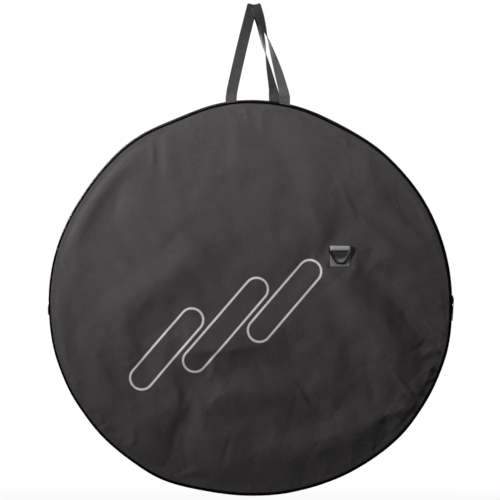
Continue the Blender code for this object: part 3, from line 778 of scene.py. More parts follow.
def panel_relief(folds, puckers, spare, offset, tabbed, reach):
    """Height of the folded fabric over the plain dome."""
    def relief(x, z, share, angle):
        loose = 0.45 + 0.55 * spare(x, z)
        raised = 0.0024 * uneven(x, z, 0.08, offset) + 0.0016 * uneven(x, z, 0.03, offset + 5.0) * loose
        bent_x = x + 0.004 * uneven(x, z, 0.055, offset + 11.0)
        bent_z = z + 0.004 * uneven(x, z, 0.055, offset + 17.0)
        for line, upper, lower, height in folds:
            raised = raised + ridge(bent_x, bent_z, line, upper, lower, height)
        raised = raised * (1.0 - smooth((share - SEAM_EASE_SHARE) / (SEAM_SHARE - SEAM_EASE_SHARE)))
        seam = 1.0 - 0.7 * smooth((share - SEAM_SHARE) / (1.0 - SEAM_SHARE))
        for line, upper, lower, height in puckers:
            raised = raised + ridge(x, z, line, upper, lower, height) * seam
        if tabbed:
            raised = raised - (raised + 0.0003) * by_tab(x, z)
        room = highest(share, reach) - raised
        raised = highest(share, reach) - (np.sqrt(room * room + EASE * EASE) + room) / 2.0
        return np.maximum(raised, lowest(share))
    return relief


front_folds = read_folds(FRONT_FOLDS)
front_relief = panel_relief(front_folds, pucker_folds(4, front_busy), front_spare, 2.0, True, FRONT_REACH)
back_relief = panel_relief(back_folds(), pucker_folds(9, back_busy), back_spare, 31.0, False, BACK_REACH)


# Materials

def shade(colour, share):
    """A colour made lighter or darker."""
    return tuple(part * share for part in colour) + (1.0,)


class Value:
    """A value made by a node, which can be reckoned with."""

    def __init__(self, nodes, socket):
        self.nodes = nodes
        self.socket = socket

    def math(self, operation, *values):
        return self.nodes.value("ShaderNodeMath", dict(enumerate((self,) + values)), operation=operation)

    def __add__(self, other):
        return self.math("ADD", other)

    def __sub__(self, other):
        return self.math("SUBTRACT", other)

    def __mul__(self, other):
        return self.math("MULTIPLY", other)

    def __abs__(self):
        return self.math("ABSOLUTE")

    def waves(self, half_length):
        """A wave that crosses nothing each half length."""
        return (self * (math.pi / half_length)).math("SINE")

    def span(self, low, high, to_low=0.0, to_high=1.0):
        """The value's range mapped to another, with its ends held."""
        return self.nodes.value("ShaderNodeMapRange", {0: self, 1: low, 2: high, 3: to_low, 4: to_high})

    def spread(self, to_low, to_high):
        """Noise mapped to a range."""
        return self.span(0.3, 0.7, to_low, to_high)


class Nodes:
    """The nodes of a material or a world, written as nested calls."""

    def __init__(self, owner):
        owner.use_nodes = True
        self.tree = owner.node_tree

    def put(self, socket, value):
        if isinstance(value, Value):
            self.tree.links.new(value.socket, socket)
        else:
            socket.default_value = value

    def make(self, kind, inputs=None, **settings):
        made = self.tree.nodes.new(kind)
        for key, value in settings.items():
            setattr(made, key, value)
        for key, value in (inputs or {}).items():
            self.put(made.inputs[key], value)
        return made

    def value(self, kind, inputs=None, output=0, **settings):
        return Value(self, self.make(kind, inputs, **settings).outputs[output])

    def show(self, kind, direct, lit, seen):
        """End in one look for the light, and another for the camera."""
        self.make(kind, {0: self.value("ShaderNodeMixShader", {0: direct, 1: lit, 2: seen})})


class Finish(Nodes):
    """A material whose patterns lie on the flat map, in metres."""

    def __init__(self, name):
        self.material = bpy.data.materials.new(name)
        super().__init__(self.material)
        self.shader = self.tree.nodes["Principled BSDF"]
        self.flat = self.value("ShaderNodeUVMap", uv_map=FLAT_MAP)
        split = self.make("ShaderNodeSeparateXYZ", {0: self.flat})
        self.u = Value(self, split.outputs[0])
        self.v = Value(self, split.outputs[1])

    def noise(self, scale, detail, roughness, stretch=(1.0, 1.0)):
        """Noise of a feature size in metres, stretched along the flat map."""
        spread = self.value("ShaderNodeMapping", {0: self.flat, "Scale": stretch + (1.0,)})
        inputs = {"Vector": spread, "Scale": 1.0 / scale, "Detail": detail, "Roughness": roughness}
        return self.value("ShaderNodeTexNoise", inputs)

    def mix(self, share, low, high):
        return self.value("ShaderNodeMix", {0: share, 6: low, 7: high}, 2, data_type="RGBA")

    def tones(self, share, colour, dark, bright):
        """A colour between two tones of itself."""
        return self.mix(share, shade(colour, dark), shade(colour, bright))

    def bump(self, height, distance, strength, under=None):
        inputs = {"Height": height, "Distance": distance, "Strength": strength}
        if under is not None:
            inputs["Normal"] = under
        return self.value("ShaderNodeBump", inputs)

    def finish(self, base, rough, normal, gloss, **others):
        """The material, with its other values by socket name with underscores."""
        values = {"Base_Color": base, "Roughness": rough, "Normal": normal, "Specular_IOR_Level": gloss}
        for key, value in {**values, **others}.items():
            self.put(self.shader.inputs[key.replace("_", " ")], value)
        return self.material


def plain_weave(u, v, pitch):
    """Height of a plain weave: each thread passes over and under in turn."""
    first = u.waves(pitch)
    second = v.waves(pitch)
    over = first * second * 0.5 + 0.5
    return (abs(first) * over).math("MAXIMUM", abs(second) * (over * -1.0 + 1.0))


# The print on the front: outlined bars, by centre and half length
PRINT_COLOUR = (0.78, 0.746, 0.78)
PRINT_LINE = 0.0041
PRINT_TILT = 0.86
PRINT_HALF_WIDTH = 0.0215
PRINT_SOFT = 0.0001
PRINT_BARS = (((-0.156, -0.09), 0.072), ((-0.046, -0.045), 0.088), ((0.064, 0.0), 0.072))


def fabric_material(name, colour, pitch, roughness, printed=False, coarse=1.0, sheen=0.08, gloss=0.32):
    """Woven polyester with uneven threads, soft blotches and a faint dusty nap."""
    cloth = Finish(name)
    weave = plain_weave(cloth.u, cloth.v, pitch)
    along = cloth.noise(pitch * 1.6, 1.0, 0.5, (1.0, 0.05))
    tone = (along + cloth.noise(pitch * 1.6, 1.0, 0.5, (0.05, 1.0))) * 0.5
    blotch = cloth.noise(0.055, 4.0, 0.6)
    worn = cloth.noise(0.012, 5.0, 0.65)
    light = tone.spread(0.0, 0.42) + blotch.spread(0.0, 0.3) + worn.span(0.35, 0.75, 0.0, 0.18)
    light = light + cloth.noise(0.0036, 3.0, 0.7).span(0.35, 0.65, -0.16, 0.16)
    # Painted shade: lighter on the threads' crowns, darker in the gaps between them.
    light = light + weave.span(0.0, 1.0, 0.0, 0.2)
    base = cloth.tones(light, colour, 0.7, 1.38)
    rough = worn.spread(roughness - 0.05, roughness + 0.06)
    height = weave + tone * 0.5
    if printed:
        share = bar_outline(cloth, *PRINT_BARS[0])
        for bar in PRINT_BARS[1:]:
            share = share.math("MAXIMUM", bar_outline(cloth, *bar))
        ink = cloth.tones(blotch.spread(0.0, 1.0), PRINT_COLOUR, 0.94, 1.04)
        base = cloth.mix(share * weave.span(0.02, 0.35, 0.8, 1.0), base, ink)
        rough = rough - share * 0.3
        height = height + share * 0.25
    normal = cloth.bump(cloth.noise(0.007, 4.0, 0.65), 0.001, 0.5)
    normal = cloth.bump(height, 0.00016 * coarse, 0.75, normal)
    return cloth.finish(base, rough, normal, gloss, Sheen_Weight=sheen, Sheen_Roughness=0.45)


def bar_outline(cloth, centre, half_length):
    """Share of ink on the outline of a long rounded bar."""
    across = cloth.u - centre[0]
    up = cloth.v - centre[1]
    along = across * math.cos(PRINT_TILT) + up * math.sin(PRINT_TILT)
    aside = up * math.cos(PRINT_TILT) - across * math.sin(PRINT_TILT)
    past = (abs(along) - half_length).math("MAXIMUM", 0.0)
    off = abs((past * past + aside * aside).math("SQRT") - PRINT_HALF_WIDTH)
    return off.span(PRINT_LINE / 2.0 + PRINT_SOFT, PRINT_LINE / 2.0 - PRINT_SOFT)


def webbing_material(name, colour, shaded_middle=0.0, sleeve_shadow=0.0):
    """Heavy webbing: ribs with picks that lean in turn, painted darker in the gaps between them. Handles get
    painted shade towards the middle and the edges and painted light near the feet; the ring tab gets a
    painted shadow under its sleeve and a painted highlight on the sleeve.
    """
    strap = Finish(name)
    swing = strap.u.math("PINGPONG", RIB) * (0.9 / RIB)
    picks = abs((strap.v * (1.0 / PICK) + swing).waves(1.0))
    height = picks * 0.62 + abs(strap.u.waves(RIB)).math("POWER", 0.5) * 0.38
    streak = strap.noise(0.0011, 2.0, 0.6, (1.0, 0.08))
    blotch = strap.noise(0.013, 4.0, 0.65)
    # Painted shade in the gaps between ribs and picks, with random streaks and blotches.
    light = height.span(0.2, 1.0, 0.0, 0.4) + streak.spread(0.0, 0.3) + blotch.spread(-0.1, 0.4)
    # Painted shade towards the strap's middle over the hook and along both edges, and painted light near
    # both feet.
    if shaded_middle > 0.0:
        middle = abs(strap.v - shaded_middle)
        light = light - middle.span(0.165, 0.035, 0.0, 0.55) + middle.span(0.168, 0.176, 0.0, 0.7)
        light = light - abs(strap.u).span(WEBBING_WIDTH * 0.36, WEBBING_WIDTH * 0.46, 0.0, 0.42)
    base = strap.tones(light, colour, 0.62, 1.42)
    # Painted shadow: a dark half oval on the patch below the ring's sleeve; painted highlight: the sleeve
    # itself much lighter.
    if sleeve_shadow > 0.0:
        aside = strap.u * (1.0 / 0.0182)
        below = (strap.v - sleeve_shadow) * (1.0 / 0.0172)
        past = strap.v.span(sleeve_shadow + 0.0062, sleeve_shadow + 0.0074)
        dark = (below * below + aside * aside + blotch * 0.3).span(1.2, 0.7)
        base = strap.mix(dark * (past * -1.0 + 1.0), base, shade(colour, 0.11))
        base = strap.mix(past, base, strap.tones(light, colour, 1.5, 2.6))
    normal = strap.bump(height, 0.00028, 0.85)
    return strap.finish(base, streak.spread(0.62, 0.8), normal, 0.4, Sheen_Weight=0.06, Sheen_Roughness=0.4)


def ribbed_material(name, colour, pitch, diagonal=False, gloss=0.4):
    """Narrow tape with ribs across it, or leaning where it is a twill."""
    tape = Finish(name)
    run = tape.v + tape.u if diagonal else tape.v
    ribs = abs(run.waves(pitch))
    streak = tape.noise(pitch * 1.5, 2.0, 0.6, (0.12, 1.0))
    # Painted shade: darker in the grooves between ribs, with random streaks.
    light = ribs.span(0.0, 1.0, 0.0, 0.45) + streak.spread(0.0, 0.3)
    light = light + tape.noise(0.02, 4.0, 0.6).spread(0.0, 0.25)
    base = tape.tones(light, colour, 0.6, 1.6)
    normal = tape.bump(ribs, pitch * 0.22, 0.8)
    return tape.finish(
        base, streak.spread(0.66, 0.8), normal, gloss, Sheen_Weight=gloss / 8.0, Sheen_Roughness=0.4
    )


def bias_material(name, colour, pitch):
    """Cloth cut on the slant and drawn over a cord, a little shiny on top."""
    cloth = Finish(name)
    weave = plain_weave(cloth.u + cloth.v, cloth.u - cloth.v, pitch * 1.41)
    rumple = cloth.noise(0.006, 3.0, 0.6, (1.0, 0.5))
    # Painted shade in the gaps of the slanted weave; the tone also follows the rumples.
    base = cloth.tones(weave.span(0.0, 1.0, 0.0, 0.4) + rumple.spread(0.0, 0.6), colour, 0.6, 1.7)
    normal = cloth.bump(weave, 0.00012, 0.7, cloth.bump(rumple, 0.0006, 0.5))
    return cloth.finish(base, rumple.spread(0.72, 0.9), normal, 0.04)


def nylon_material(name, colour, roughness):
    """Moulded nylon, slightly uneven in gloss."""
    nylon = Finish(name)
    cloud = nylon.noise(0.0025, 3.0, 0.6)
    base = nylon.tones(cloud.spread(0.0, 1.0), colour, 0.75, 1.35)
    rough = cloud.spread(roughness - 0.08, roughness + 0.1)
    return nylon.finish(base, rough, nylon.bump(cloud, 0.00005, 0.5), 0.12)


def metal_material(name, paint, bare, worn_share):
    """Black lacquer on metal, rubbed through in small spots, with an uneven skin."""
    metal = Finish(name)
    metal.flat = metal.value("ShaderNodeTexCoord", output="Object")
    spots = metal.noise(1.0 / 900.0, 5.0, 0.7)
    broad = metal.noise(1.0 / 160.0, 3.0, 0.5)
    worn = (spots * broad).span(0.42 - worn_share, 0.46 - worn_share)
    base = metal.mix(worn, shade(paint, 1.0), shade(bare, 1.0))
    skin = metal.bump(spots, 0.00003, 0.5)
    return metal.finish(base, broad.spread(0.34, 0.52), skin, 0.4, Metallic=worn.span(0.0, 1.0, 0.15, 1.0))


def foam_material(name, colour):
    """Closed-cell foam with fine pores."""
    sponge = Finish(name)
    spot = sponge.value("ShaderNodeTexCoord", output="Object")
    depth = sponge.value("ShaderNodeTexVoronoi", {"Vector": spot, "Scale": 700.0}, "Distance").span(0.0, 0.6)
    # Painted shade: darker in the pores' hollows.
    base = sponge.tones(depth, colour, 0.6, 1.15)
    return sponge.finish(base, depth.span(0.0, 1.0, 0.95, 0.85), sponge.bump(depth, 0.0003, 0.8), 0.2)


PANEL_COLOUR = (0.057, 0.051, 0.0528)
BLACK = (0.0024, 0.0022, 0.0024)

panel_front = fabric_material("front_cloth", PANEL_COLOUR, 0.00062, 0.8, printed=True)
panel_back = fabric_material("back_cloth", PANEL_COLOUR, 0.00062, 0.8)
# Painted shade: the gusset is the panels' cloth at a much darker colour.
SHADED_GUSSET_COLOUR = (0.0135, 0.0126, 0.0128)
shaded_gusset_cloth = fabric_material("shaded_gusset_cloth", SHADED_GUSSET_COLOUR, 0.00062, 0.84, sheen=0.01, gloss=0.08)
lining_cloth = fabric_material("lining_cloth", (0.042, 0.0415, 0.044), 0.00038, 0.62, coarse=0.6)
piping_cloth = bias_material("piping_cloth", BLACK, 0.00042)
# Handle webbing, with painted shade towards its middle and edges and painted light near its feet.
webbing = webbing_material("webbing_weave", (0.046, 0.0432, 0.044), shaded_middle=0.193)
# Ring tab webbing: its own lighter grey, raised further as painted light, with a painted shadow below the
# sleeve and a painted highlight on it.
tab_webbing = webbing_material("tab_weave", (0.21, 0.2, 0.201), sleeve_shadow=0.029)
binding_tape = ribbed_material("binding_tape", BLACK, 0.0008, gloss=0.1)
zip_cloth = ribbed_material("zip_cloth", (0.006, 0.0057, 0.006), 0.0007, diagonal=True, gloss=0.08)
coil_nylon = nylon_material("coil_nylon", (0.0085, 0.008, 0.0086), 0.5)
thread = ribbed_material("sewing_thread", (0.02, 0.019, 0.0195), 0.0004, diagonal=True)
light_thread = ribbed_material("webbing_thread", (0.15, 0.145, 0.148), 0.0004, diagonal=True)
lacquer = metal_material("lacquered_zinc", (0.012, 0.012, 0.013), (0.42, 0.41, 0.4), 0.055)
ring_finish = metal_material("ring_lacquer", (0.01, 0.01, 0.011), (0.36, 0.36, 0.36), 0.045)
foam = foam_material("grey_foam", (0.11, 0.11, 0.115))


# Front and back walls

SIM_COUNT = 104
FINE_TIMES = 3
PAD_STEP = 2
SIM_FRAMES = 20
CLOTH_SPARE = 0.0095
CLOTH_TETHER = 0.05
CLOTH_CAP = 0.0048
CLOTH_ROUGH = 0.0004
CLOTH_ROUGH_SHARE = 0.96
CLOTH_EASE_SHARE = 0.035
CLOTH_SETTINGS = {
    "quality": 6,
    "mass": 0.3,
    "tension_stiffness": 22.0,
    "compression_stiffness": 22.0,
    "shear_stiffness": 7.0,
    "bending_stiffness": 1.2,
    "air_damping": 2.0,
    "vertex_group_shrink": "tight",
    "shrink_min": -CLOTH_SPARE,
    "shrink_max": 0.0,
    "vertex_group_mass": "held",
}
COVER_TUCK = ((0.0009, 0.04), (0.0018, 0.0394))
PAD_PRESSED = 1.1
PAD_LOOSE = 0.0008
PAD_SUNK = 0.0022
PAD_SUNK_SHARE = 0.6
PAD_THINNED = 0.0013
PAD_THINNED_RISE = 0.02
PAD_THINNED_HALF = 0.035
BINDING_STEPS = 360
BINDING_SWELL = 0.00025
BINDING_WAVES = 150.0
PIPING_STEPS = 720
PIPING_SIDES = 12
PIPING_WANDER = 0.0006
PIPING_DRIFT = 0.0002
PIPING_SWELL = 0.07


def settle(relief, side, spare, seed, tabbed, reach):
    """Cloth cut a little too large buckles into folds of its own; gives its movement."""
    share, angle, x, z, _ = disc_places(SIM_COUNT, PANEL_MARGIN)
    draw = np.random.default_rng(seed)
    rough = CLOTH_ROUGH * draw.normal(size=x.shape) * (share < CLOTH_ROUGH_SHARE)
    raised = relief(x, z, share, angle)
    start = joined(x, side * (PANEL_FACE + crown(share) + raised + rough), z)
    faces, corners = grid_faces(x.shape, joined(x, z))
    sheet = make_piece("slack_cloth", start, faces.tolist(), corners, panel_front)
    held = sheet.vertex_groups.new(name="held")
    seam = np.flatnonzero(share.ravel() > SEAM_SHARE).tolist()
    free = np.flatnonzero(share.ravel() <= SEAM_SHARE).tolist()
    held.add(seam, 1.0, "REPLACE")
    held.add(free, CLOTH_TETHER, "REPLACE")
    tight = sheet.vertex_groups.new(name="tight")
    for vertex, part in enumerate(spare(x, z).ravel().tolist()):
        tight.add([vertex], 1.0 - part, "REPLACE")
    cloth = sheet.modifiers.new("cloth", "CLOTH")
    settings = cloth.settings
    for key, value in CLOTH_SETTINGS.items():
        setattr(settings, key, value)
    settings.effector_weights.gravity = 0.0
    cloth.point_cache.frame_start = 1
    cloth.point_cache.frame_end = SIM_FRAMES
    for step in range(1, SIM_FRAMES + 1):
        bpy.context.scene.frame_set(step)
    made = sheet.evaluated_get(bpy.context.evaluated_depsgraph_get()).data
    ended = np.zeros(len(made.vertices) * 3)
    made.vertices.foreach_get("co", ended)
    bpy.data.objects.remove(sheet)
    moved = ended.reshape(start.shape) - start
    length = np.linalg.norm(moved, axis=-1, keepdims=True)
    moved = moved * np.minimum(1.0, CLOTH_CAP / np.maximum(length, 1e-9))
    kept = 1.0 - smooth((share - SEAM_EASE_SHARE) / CLOTH_EASE_SHARE)
    if tabbed:
        kept = kept * (1.0 - by_tab(x, z))
    moved = moved * kept[..., None]
    ended = np.clip(raised + side * moved[..., 1], lowest(share), highest(share, reach))
    moved[..., 1] = side * (ended - raised)
    return moved


def declare_disc():
    wide = 2.0 * (float(rim_radius(0.0)) - PANEL_MARGIN)


def make_cover(name, relief, side, moved, material):
    def height(x, z, share, angle):
        return PANEL_FACE + crown(share) + relief(x, z, share, angle)
    fine = finer(moved, FINE_TIMES)
    cover = disc_sheet(name, SIM_COUNT * FINE_TIMES, PANEL_MARGIN, height, side, material, COVER_TUCK, fine)
    return thicken(cover, PANEL_FABRIC)


def lower_of_neighbours(field):
    """A grid of values, each lowered to its lowest neighbour."""
    for axis in (0, 1):
        field = np.moveaxis(field, axis, 0)
        wide = np.concatenate((field[:1], field, field[-1:]))
        field = np.minimum(np.minimum(wide[:-2], wide[1:-1]), wide[2:])
        field = np.moveaxis(field, 0, axis)
    return field


def make_padding(name, relief, side, moved):
    """Foam sheet: domed outside under the cloth, flat inside, with a rounded edge."""
    share, angle, x, z, edge = disc_places(SIM_COUNT, PAD_MARGIN)
    pushed = relief(x, z, share, angle) + side * moved[..., 1]
    for _ in range(PAD_STEP):
        pushed = lower_of_neighbours(pushed)
    pushed = pushed[::PAD_STEP, ::PAD_STEP]
    share, angle, x, z, edge = disc_places(SIM_COUNT // PAD_STEP, PAD_MARGIN)
    sunk = np.minimum(pushed, 0.0) * PAD_PRESSED - PAD_LOOSE * smooth(1.0 - share ** 8)
    sunk = np.maximum(sunk, -PAD_SUNK - PAD_SUNK_SHARE * crown(share))
    outer = joined(x, side * (PAD_OUTER + crown(share) + sunk), z).reshape(-1, 3)
    off = (z - FOLD_HEIGHT - PAD_THINNED_RISE) / PAD_THINNED_HALF
    thinned = PAD_THINNED * np.exp(-off ** 2) if side < 0.0 else 0.0 * z
    inner = joined(x, side * (PAD_INNER + thinned), z).reshape(-1, 3)
    flat = outer[:, (0, 2)].reshape(x.shape + (2,))
    faces, corners = grid_faces(x.shape, flat)
    flat = flat.reshape(-1, 2)
    corners = corners.reshape(-1, 2).tolist()
    corners += corners
    points = np.vstack((outer, inner))
    count = len(outer)
    every = faces.tolist() + (faces[:, ::-1] + count).tolist()
    join_rings(every, corners, np.vstack((flat, flat)), edge, edge + count)
    piece = make_piece(name, points + CENTRE, every, corners, foam)
    recalculate(piece)
    return piece


def lining_height(offset, seed):
    puckers = pucker_folds(seed, lambda angle: 0.5)

    def height(x, z, share, angle):
        slack = 0.0005 * uneven(x, z, 0.06, offset) * (1.0 - share ** 6)
        for line, upper, lower, rise in puckers:
            slack = slack + ridge(x, z, line, upper, lower, rise * 0.5)
        return LINING_OUTER - LINING_FABRIC - np.abs(slack)
    return height


def binding_band(name, side):
    """Folded tape round the seam's edge, with rounded corners."""
    angles = np.linspace(0.0, FULL_TURN, BINDING_STEPS + 1)[:-1, None]
    outer = rim_radius(angles) - BINDING_MARGIN
    across = np.array((0.0, -0.3, -1.0, -1.0, -1.0, -0.7, -0.3, 0.0, 0.0))
    sunk = np.array((0.0, 0.0, 0.0, 0.25, 0.8, 1.0, 1.0, 0.8, 0.2))
    swell = BINDING_SWELL * np.sin(angles * BINDING_WAVES) * (across < -0.5)
    depth = PAD_OUTER - (PAD_OUTER - PAD_INNER) * sunk
    rings = on_disc(angles, outer + across * BINDING_WIDTH + swell, side * depth)
    lengths = np.linspace(0.0, FULL_TURN * RIM_RADIUS, len(angles) + 1)
    width = np.linspace(0.0, 2.0 * (BINDING_WIDTH + PAD_OUTER - PAD_INNER), len(across) + 1)
    return loft_piece(name, rings, flat_grid(lengths, width), binding_tape, closed=True)


def piping_cord(name, side):
    """Cord under slanted cloth: a tube that swells and wanders a little."""
    angles = np.arange(PIPING_STEPS) * FULL_TURN / PIPING_STEPS
    wander, swell = [
        uneven(waves * np.cos(angles), waves * np.sin(angles), 1.0, side * offset)
        for waves, offset in ((6.0, 3.0), (70.0, 9.0))
    ]
    radius = piping_radius(angles)
    depth = side * (RIM_PLANE + PIPING_DRIFT * wander)
    path = on_disc(angles, rim_radius(angles) - radius + PIPING_WANDER * wander, depth)
    radius = radius * (1.0 + PIPING_SWELL * swell)
    return tube(name, path, radius, PIPING_SIDES, DEPTHWISE, piping_cloth, closed=True)


def make_walls():
    """Covers, padding, linings, cords and bindings of the front and the back."""
    moved = (
        settle(front_relief, -1.0, front_spare, 5, True, FRONT_REACH),
        settle(back_relief, 1.0, back_spare, 6, False, BACK_REACH),
    )
    walls = (
        ("front", -1.0, FOLD, front_relief, panel_front, moved[0]),
        ("back", 1.0, "shell", back_relief, panel_back, moved[1]),
    )

    def put(piece, wall, body, slot, kind):
        endings = ("_upper", "_lower") if body == FOLD else ("",)
        return place(piece, body, slot, *[f"{wall}_{kind}{ending}" for ending in endings])

    covers = []
    pads = []
    for wall, side, body, relief, cloth, change in walls:
        cover = make_cover(wall + "_cover", relief, side, change, cloth)
        covers.append(put(cover, wall, body, "panel_fabric", "panel"))
    for wall, side, body, relief, _, change in walls:
        pad = make_padding(wall + "_foam", relief, side, change)
        pads.append(put(pad, wall, body, "padding", "padding"))
    for cover, pad in zip(covers, pads):
        declare_disc()
    for (wall, side, body, *_), pad in zip(walls, pads):
        height = lining_height(side * 7.0, 40 + int(side))
        lining = disc_sheet(wall + "_lining_cloth", SIM_COUNT, LINING_MARGIN, height, side, lining_cloth)
        lining.data.flip_normals()
        put(thicken(lining, LINING_FABRIC), wall, body, "lining", "lining")
        declare_disc()
    for wall, side, body, *_ in walls:
        put(piping_cord(wall + "_piping_cord", side), wall, body, "piping", "piping")
    for wall, side, body, *_ in walls:
        put(binding_band(wall + "_binding_tape", side), wall, body, "binding", "binding")


# Gusset

SEAM_ALLOWANCE = 0.0024
SEAM_REACH = 0.008
GUSSET_STEP = 0.0035
GUSSET_CROSS_STEP = 0.0032
GUSSET_WAVE = 0.0009
GUSSET_WAVE_LENGTH = 0.045
GATHER_HEIGHT = 0.0007
GATHER_LENGTH = 0.0075
CALM_BY_END = 0.01
CALM_BY_ZIP = 0.006
GUSSET_TUCKED = ((GUSSET_EDGE + 0.0014, -0.0006), (GUSSET_EDGE + SEAM_ALLOWANCE, -0.0013))


def gusset_piece(name, start, end, inner, outer, seed):
    """A band of the gusset between two angles and two depths, tucked under the piping."""
    steps = int(abs(end - start) * RIM_RADIUS / GUSSET_STEP)
    angles = np.linspace(start, end, steps + 1)
    depths = np.linspace(inner, outer, max(8, int(abs(outer - inner) / GUSSET_CROSS_STEP)))
    angle, depth = np.meshgrid(angles, depths, indexing="ij")
    radius = gusset_radius(angle, depth)
    away = 1.0 - np.abs(depth / GUSSET_EDGE) ** 4
    near_seam = np.exp(-((GUSSET_EDGE - np.abs(depth)) / SEAM_REACH) ** 2)
    near_seam = near_seam * (1.0 - np.abs(depth / GUSSET_EDGE) ** 40)
    along = angle * RIM_RADIUS
    wave = uneven(along, depth, GUSSET_WAVE_LENGTH, seed) * GUSSET_WAVE * away
    gather = uneven(along, depth * 0.25, GATHER_LENGTH, seed + 3.0) * GATHER_HEIGHT * near_seam
    calm = np.clip(np.minimum(angle - start, end - angle) * RIM_RADIUS / CALM_BY_END, 0.0, 1.0)
    calm = calm * np.clip((np.abs(depth) - ZIP_SLOT_HALF) / CALM_BY_ZIP, 0.15, 1.0)
    points = on_disc(angle, radius + (wave + gather) * calm, depth)
    columns = [points]
    widths = list(depths)
    for edge_depth, drop in GUSSET_TUCKED:
        for side in (-1.0, 1.0):
            if max(side * inner, side * outer) < GUSSET_EDGE * 0.99:
                continue
            made = on_disc(angles, rim_radius(angles) - GUSSET_TUCK + drop, side * edge_depth)[:, None]
            before = side * inner > side * outer
            columns = [made] + columns if before else columns + [made]
            widths = [side * edge_depth] + widths if before else widths + [side * edge_depth]
    points = np.concatenate(columns, axis=1)
    piece = sheet_piece(name, points, flat_grid(angles * RIM_RADIUS, widths), shaded_gusset_cloth)
    return thicken(face_away(piece, reference=CENTRE), GUSSET_FABRIC)


def make_gussets():
    end = at_height(-ZIP_END_DROP)
    over = (math.pi - 2.0 * end) * RIM_RADIUS
    half = GUSSET_EDGE - ZIP_SLOT_HALF + SEAM_ALLOWANCE
    start = end + GAP / ZIP_RADIUS
    upper = (start, math.pi - start)
    lower = (math.pi - end, FULL_TURN + end)
    strip = (half, over)
    band = (2.0 * (GUSSET_EDGE + SEAM_ALLOWANCE), FULL_TURN * RIM_RADIUS - over)
    for name, arc, inner, outer, seed, body, node, flat in (
        ("front_strip", upper, -ZIP_SLOT_HALF, -GUSSET_EDGE, 11.0, FOLD, "front_gusset_strip", strip),
        ("back_strip", upper, ZIP_SLOT_HALF, GUSSET_EDGE, 15.0, "shell", "back_gusset_strip", strip),
        ("lower_band", lower, -GUSSET_EDGE, GUSSET_EDGE, 19.0, "shell", "lower_gusset", band),
    ):
        piece = gusset_piece(name, *arc, inner, outer, seed)
        place(piece, body, "gusset_fabric", node)


# Stitches

# Length, pitch and radius of the stitches of each seam
ZIP_STITCH = (0.0026, 0.0034, 0.00032)
END_TAB_STITCH = (0.002, 0.0027, 0.00026)
FOOT_STITCH = (0.0018, 0.0023, 0.00026)
RING_TAB_STITCH = (0.0021, 0.0028, 0.00027)
ZIP_SEAM_START = 0.012
ZIP_SEAM_INSET = 0.0017


def stitch_row(name, path, outward, body, material, length, pitch, radius):
    """A row of single stitches along a path, half sunk in the cloth."""
    lengths = run_lengths(path)
    count = max(1, int(lengths[-1] / pitch))
    spare = (lengths[-1] - count * pitch) / 2.0
    fields = (path, np.broadcast_to(outward, path.shape))
    sides = 6
    shares = np.array((0.0, 0.12, 0.5, 0.88, 1.0))
    radii = np.array((0.35, 0.9, 1.0, 0.9, 0.35)) * radius
    lift = np.array((-0.9, 0.25, 0.55, 0.25, -0.9)) * radius
    size = len(shares) * sides
    flat = flat_grid(shares * length, np.arange(sides + 1) * radius)
    one, one_corners = grid_faces((len(shares), sides), flat, wrap_columns=True)
    caps = np.array((range(sides - 1, -1, -1), range(size - sides, size)))
    points = []
    faces = []
    corners = []
    for index in range(count):
        places = spare + index * pitch + shares * length
        centre, away = [joined(*[np.interp(places, lengths, part) for part in field.T]) for field in fields]
        away = unit(away)
        across = np.cross(away, unit(centre[-1] - centre[0]))
        points.append(rings_round(centre + away * lift[:, None], across, away, radii, sides))
        faces += (one + index * size).tolist() + (caps + index * size).tolist()
        corners += one_corners.reshape(-1, 2).tolist() + [(0.0, 0.0)] * (2 * sides)
    piece = make_piece(name, np.array(points), faces, corners, material)
    recalculate(piece)
    place(piece, body)


def box_path(run_steps, low, high, half):
    """Places along a stitched box: across and up."""
    run = np.linspace(0.0, 4.0, run_steps)
    across = np.interp(run, np.arange(5), (-half, half, half, -half, -half))
    return across, np.interp(run, np.arange(5), (low, low, high, high, low))


def make_zip_stitching():
    """A row on each side holds the strip's turned edge to the zip's tape."""
    start = at_height(-ZIP_END_DROP) + ZIP_SEAM_START
    angles = np.linspace(start, math.pi - start, 700)
    for name, side, body in ZIP_SIDES:
        depth = side * (ZIP_SLOT_HALF + ZIP_SEAM_INSET)
        path = on_disc(angles, gusset_radius(angles, depth), depth)
        stitch_row(name + "_zip_stitches", path, outward_at(angles), body, thread, *ZIP_STITCH)


# Zip

COIL_PITCH = 0.0016
COIL_POINTS = 10
FILAMENT = 0.00034


def make_tapes():
    tail = zip_angle(-ZIP_END_DROP - TAPE_TAIL)
    angles = np.linspace(tail, math.pi - tail, 360)
    for name, side, body in ZIP_SIDES:
        depths = side * np.array((0.00015, 0.002, 0.004, 0.006, 0.008, 0.01, TAPE_HALF_WIDTH))
        points = on_zip(angles[:, None], 0.0, depths[None, :])
        tape = sheet_piece(name + "_zip_cloth", points, flat_grid(angles * TAPE_RADIUS, depths), zip_cloth)
        thicken(face_away(tape, reference=CENTRE), TAPE_FABRIC)
        place(tape, body, "zip_tape", "zip_tape_" + name)
        size = (TAPE_HALF_WIDTH, TAPE_RADIUS * (math.pi - 2.0 * tail))


